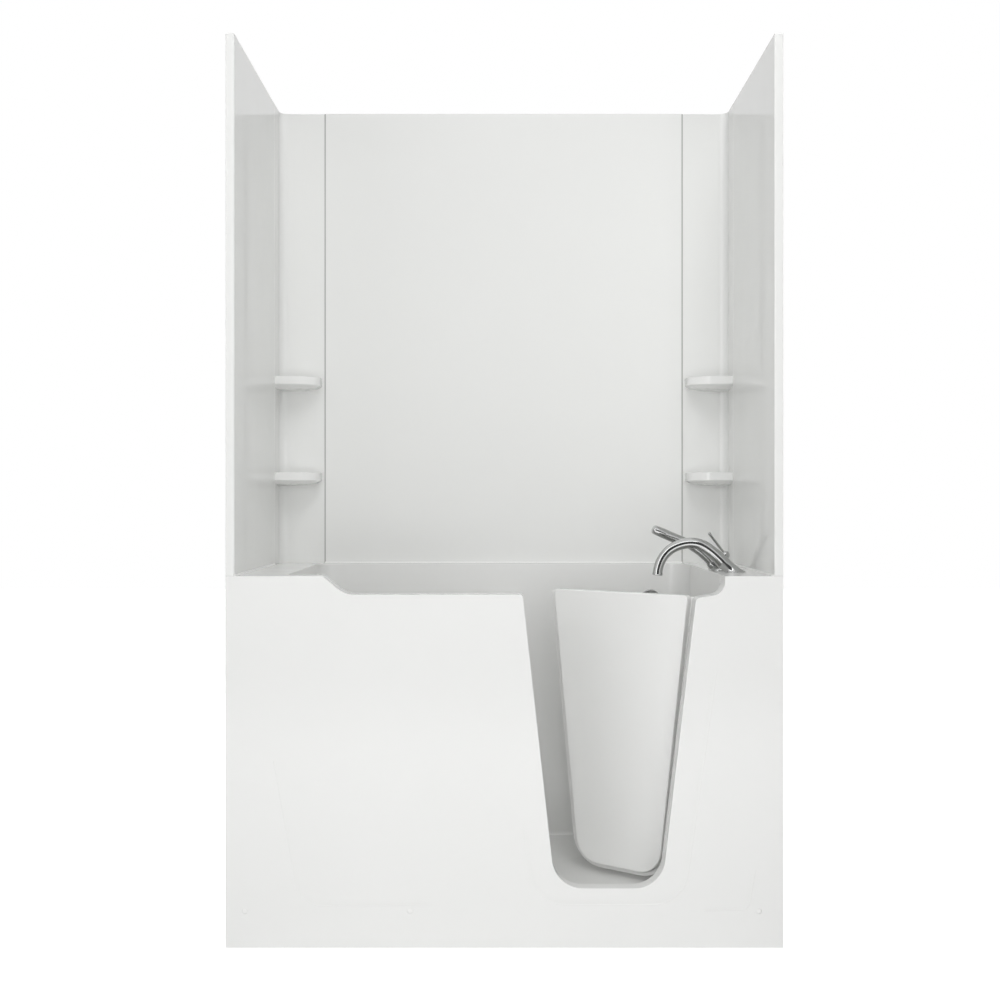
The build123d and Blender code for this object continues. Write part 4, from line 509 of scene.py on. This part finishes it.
# Hand shower: a slim chromed wand that lies in a tilted cup on the deck and flattens into its spray
# head. The cup is screwed down through the deck by its own shank.
HOLDER_X = 0.633
HOLDER_TILT = math.radians(45)
low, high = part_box("hand_shower_holder")
wand_depth = (low.y + high.y) / 2
holder_foot = Vector((HOLDER_X, wand_depth, DECK_TOP))
lean = Vector((-math.sin(HOLDER_TILT), 0, math.cos(HOLDER_TILT)))

base = smooth_line([(0.022, 0.0), (0.0218, 0.003), (0.0195, 0.0062), (0.016, 0.0075), (0.0, 0.0078)], 24)
base = gridded("base", turned(base, holder_foot))
cup = np.array([(0.0, 0.0), (0.0155, 0.0), (0.016, 0.001), (0.016, 0.0372), (0.0157, 0.0378),
                (0.0145, 0.038), (0.0128, 0.0376), (0.0123, 0.0368), (0.0123, 0.015), (0.0, 0.015)])
cup = gridded("cup", turned(cup, holder_foot, lean))
shank = gridded("shank", turned(shank_profile, holder_foot, columns=32))
finished("tilted_cup", closed(base, cup, shank), "tub", "chrome", CHROME, "hand_shower_holder")

WAND_LINE = [(0.623, 1.026), (0.602, 1.047), (0.591, 1.058), (0.568, 1.0775), (0.540, 1.0955),
             (0.490, 1.1165), (0.462, 1.1285), (0.4365, 1.1395)]
WAND_WIDE = [(0.0, 0.0112), (0.03, 0.012), (0.3, 0.0122), (0.5, 0.0135), (0.66, 0.0175), (0.8, 0.0225),
             (0.9, 0.0238), (0.97, 0.0222), (0.99, 0.0205), (1.0, 0.0178)]
WAND_TALL = [(0.0, 0.0112), (0.03, 0.012), (0.3, 0.0120), (0.5, 0.0128), (0.66, 0.0138), (0.8, 0.0145),
             (0.93, 0.0140), (0.975, 0.0130), (0.992, 0.0115), (1.0, 0.0088)]
WAND_ROWS = 100
path = level_path(WAND_LINE, wand_depth, WAND_ROWS)
share = np.linspace(0, 1, WAND_ROWS)
wide = np.interp(share, *np.transpose(WAND_WIDE))
tall = np.interp(share, *np.transpose(WAND_TALL))
wand = gridded("wand", carried(path, ovals(wide, tall, 48), ALONG_Y))
finished("hand_shower_wand", closed(wand), "hand_shower", "chrome", CHROME, "hand_shower")


# Mixer: a bell-shaped base with a ball hub that turns on it, and a slim lever on a cross pin in the
# hub's slot. Hot and cold tails hang under the deck.
rolled("mixer_base", "tub", "chrome", CHROME, 0.001, 3)
rolled("mixer_hub", "mixer_hub", "chrome", CHROME, 0.0008)
rolled("mixer_lever", "mixer_lever", "chrome", CHROME, 0.0006)
rolled("diverter_base", "tub", "chrome", CHROME, 0.0006)
rolled("diverter_knob", "diverter_knob", "chrome", CHROME, 0.0006)


# Supply: plain brass pipe and nuts under the deck.
BRASS = metal("plain_brass", (0.72, 0.56, 0.3), (0.6, 0.45, 0.22), 0.26, 90.0)
rolled("supply_pipes", "tub", "supply_metal", BRASS, 0.0006)
rolled("fitting_locknuts", "tub", "supply_metal", BRASS, 0.0009)


# Door: a moulded outer pan and a flat inner skin on a steel ring, with a rubber seal round its margin
# and two butt hinges at the right-hand side.
rolled("door_outer_skin", "door", "door_skin", GELCOAT, 0.0008)
rolled("door_inner_skin", "door", "door_skin", GELCOAT, 0.002, 3)
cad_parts["door_frame"].data.materials[0] = STEEL
seal = Finish("seal_rubber", Roughness=0.6)
seal.set(Base_Color=seal.blend(seal.noise(30.0), (0.74, 0.74, 0.73), (0.79, 0.79, 0.78)))
seal.set(Normal=seal.bump(seal.noise(700.0), 0.0002))
rolled("door_seal", "door", "seal_rubber", seal.material, 0.001)
HINGE = metal("satin_hinge_steel", (0.7, 0.7, 0.71), (0.6, 0.6, 0.61), 0.2, 200.0, (1.0, 1.0, 0.1))
rolled("door_hinge_leaves", "door", "hinge_steel", HINGE, 0.0006)
rolled("fixed_hinge_leaves", "tub", "hinge_steel", HINGE, 0.0006)
rolled("hinge_pins", "tub", "hinge_steel", HINGE, 0.0006)


# Latch: a lever on the inner face turns and draws a flat bolt out of a strap on the shell.
rolled("latch_housing", "door", "door_skin", GELCOAT, 0.0012)
rolled("latch_handle", "latch_handle", "chrome", CHROME, 0.0008)
rolled("latch_bolt", "latch_bolt", "hinge_steel", HINGE, 0.0008)
rolled("latch_keeper", "tub", "hinge_steel", HINGE, 0.0008)


# Wall surround: two flat end panels, two coved corner panels with their shelves, and a back panel that
# laps over them.
# Painted shade: the dark line of each open lap joint is painted into the panels' colour as a band at that X,
# on both faces of the panels.
LAP_EDGE = 0.59
LAP_WIDTH = 0.0034
LAP_PAINTED_SHADE = (0.30, 0.30, 0.29)


def panel_white(name, *laps):
    """Panel gloss, with the shade of the fine open joint along each lap at that X painted into its colour.
    """
    finish = Finish(name, IOR=1.49)
    plain = finish.blend(finish.noise(2.2), (0.805, 0.81, 0.797), (0.815, 0.82, 0.807))
    for lap in laps:
        # Paints the joint's shade as a dark band over the panel's tone.
        plain = finish.blend(finish.line(0, lap, LAP_WIDTH), plain, LAP_PAINTED_SHADE)
    finish.set(Base_Color=plain, Roughness=0.06 + finish.noise(9.0) * 0.04)
    finish.set(Normal=finish.bump(finish.noise(260.0) * 0.02 + finish.noise(4.0), 0.0006))
    return finish.material


PANEL_WHITE = panel_white("wall_panel_gloss")
LAPPED_WHITE = panel_white("lapped_panel_painted_joint_shade", -LAP_EDGE, LAP_EDGE)
for node in ("left_end_panel", "right_end_panel"):
    rolled(node, "tub", "wall_panel", PANEL_WHITE, 0.0015)
rolled("back_wall_panel", "tub", "wall_panel", LAPPED_WHITE, 0.0015)
for node in ("left_corner_panel", "right_corner_panel"):
    rolled(node, "tub", "wall_panel", LAPPED_WHITE, 0.003, 3)

silicone = Finish("white_silicone", Roughness=0.35)
silicone.set(Base_Color=silicone.blend(silicone.noise(20.0), (0.84, 0.84, 0.83), (0.88, 0.88, 0.87)))
silicone.set(Normal=silicone.bump(silicone.noise(70.0), 0.0004))
rolled("wall_base_sealant", "tub", "sealant", silicone.material, 0.0008)


# Floor and background: plain white paper. For the camera and for reflections both are lifted to white,
# so far that the object's soft shadow on the floor is lost in it.
FLOOR_REACH = 14.0
FLOOR_LIFT = 0.86
AMBIENT = 0.2


def seen_directly(graph):
    """Share that is 1 for rays from the camera and for rays that metal or glass send on."""
    camera_ray, glossy, through = (graph.node("ShaderNodeLightPath", {}, {}, "Is " + kind + " Ray")
                                   for kind in ("Camera", "Glossy", "Transmission"))
    return camera_ray.math("MAXIMUM", camera_ray.math("MAXIMUM", camera_ray, glossy), through)


floor_mesh = bpy.data.meshes.new("floor")
floor_corners = [(-FLOOR_REACH, -FLOOR_REACH, 0), (FLOOR_REACH, -FLOOR_REACH, 0),
                 (FLOOR_REACH, FLOOR_REACH, 0), (-FLOOR_REACH, FLOOR_REACH, 0)]
floor_mesh.from_pydata(floor_corners, [], [(0, 1, 2, 3)])
floor = bpy.data.objects.new("floor", floor_mesh)
scene.collection.objects.link(floor)
paper = Finish("floor_paper", Base_Color=(0.8, 0.8, 0.8), Roughness=0.7)
matt = Varying(paper, paper.shader.outputs["BSDF"])
glow = paper.node("ShaderNodeEmission", {}, {"Strength": FLOOR_LIFT})
lifted = paper.node("ShaderNodeAddShader", {}, {0: matt, 1: glow})
paper.mixed(seen_directly(paper), matt, lifted, "Material Output")
floor_mesh.materials.append(paper.material)

world = bpy.data.worlds.new("studio")
world.use_nodes = True
scene.world = world
sky = Graph(world.node_tree)
sky.tree.nodes.remove(sky.tree.nodes["Background"])
ambient = sky.node("ShaderNodeBackground", {}, {"Color": (1, 1, 1), "Strength": AMBIENT})
white = sky.node("ShaderNodeBackground", {}, {"Color": (1, 1, 1), "Strength": 1.0})
sky.mixed(seen_directly(sky), ambient, white, "World Output")


# Reflected studio: a dark cloth behind the camera, framed at the left and the top by bright strips. Only
# gloss and metal see them, and the strips stand where no flat panel mirrors them to the camera.
REFLECTED_Y = -4.8
DARK_LEVEL = 0.1
BRIGHT_LEVEL = 3.2


def reflected(name, left, right, low, high, level):
    """Upright sheet behind the camera that sends out one level of grey, to gloss and metal alone."""
    mesh = bpy.data.meshes.new(name)
    mesh.from_pydata([(left, REFLECTED_Y, low), (right, REFLECTED_Y, low), (right, REFLECTED_Y, high),
                      (left, REFLECTED_Y, high)], [], [(0, 1, 2, 3)])
    sheet = bpy.data.objects.new(name, mesh)
    scene.collection.objects.link(sheet)
    cloth = Finish(name, Base_Color=(0.0, 0.0, 0.0), Specular_IOR_Level=0.0)
    cloth.set(Emission_Color=(level, level, level), Emission_Strength=1.0)
    mesh.materials.append(cloth.material)
    for ray in ("camera", "diffuse", "shadow", "transmission"):
        setattr(sheet, "visible_" + ray, False)


reflected("dark_cloth", -2.1, 2.6, -0.05, 4.5, DARK_LEVEL)
reflected("left_strip", -3.3, -2.1, 0.2, 4.5, BRIGHT_LEVEL)
reflected("top_strip", -3.3, 2.0, 4.5, 5.9, BRIGHT_LEVEL)


# Lamps: a broad softbox low in front, one high over it, a weak one at the left, and one behind the object
# for its frame and pipes.
def softbox(name, place, aim, size, watts):
    """Square lamp at a place, turned to a point. Gloss doesn't show it."""
    lamp = bpy.data.lights.new(name, "AREA")
    lamp.shape = "SQUARE"
    lamp.size = size
    lamp.energy = watts
    holder = bpy.data.objects.new(name, lamp)
    holder.location = place
    holder.rotation_euler = (Vector(aim) - Vector(place)).to_track_quat("-Z", "Y").to_euler()
    holder.visible_glossy = False
    scene.collection.objects.link(holder)


softbox("key_softbox", (0.25, -3.6, 1.2), (0, 0, 1.2), 2.8, 66.0)
softbox("high_softbox", (0.2, -2.0, 4.2), (0, 0, 1.2), 2.0, 46.0)
softbox("side_softbox", (-2.6, -2.8, 1.8), (0, 0, 1.2), 2.0, 18.0)
softbox("rear_softbox", (-0.6, 4.2, 1.9), (0, 0, 1.1), 2.8, 75.0)
scene.view_settings.view_transform = "Standard"
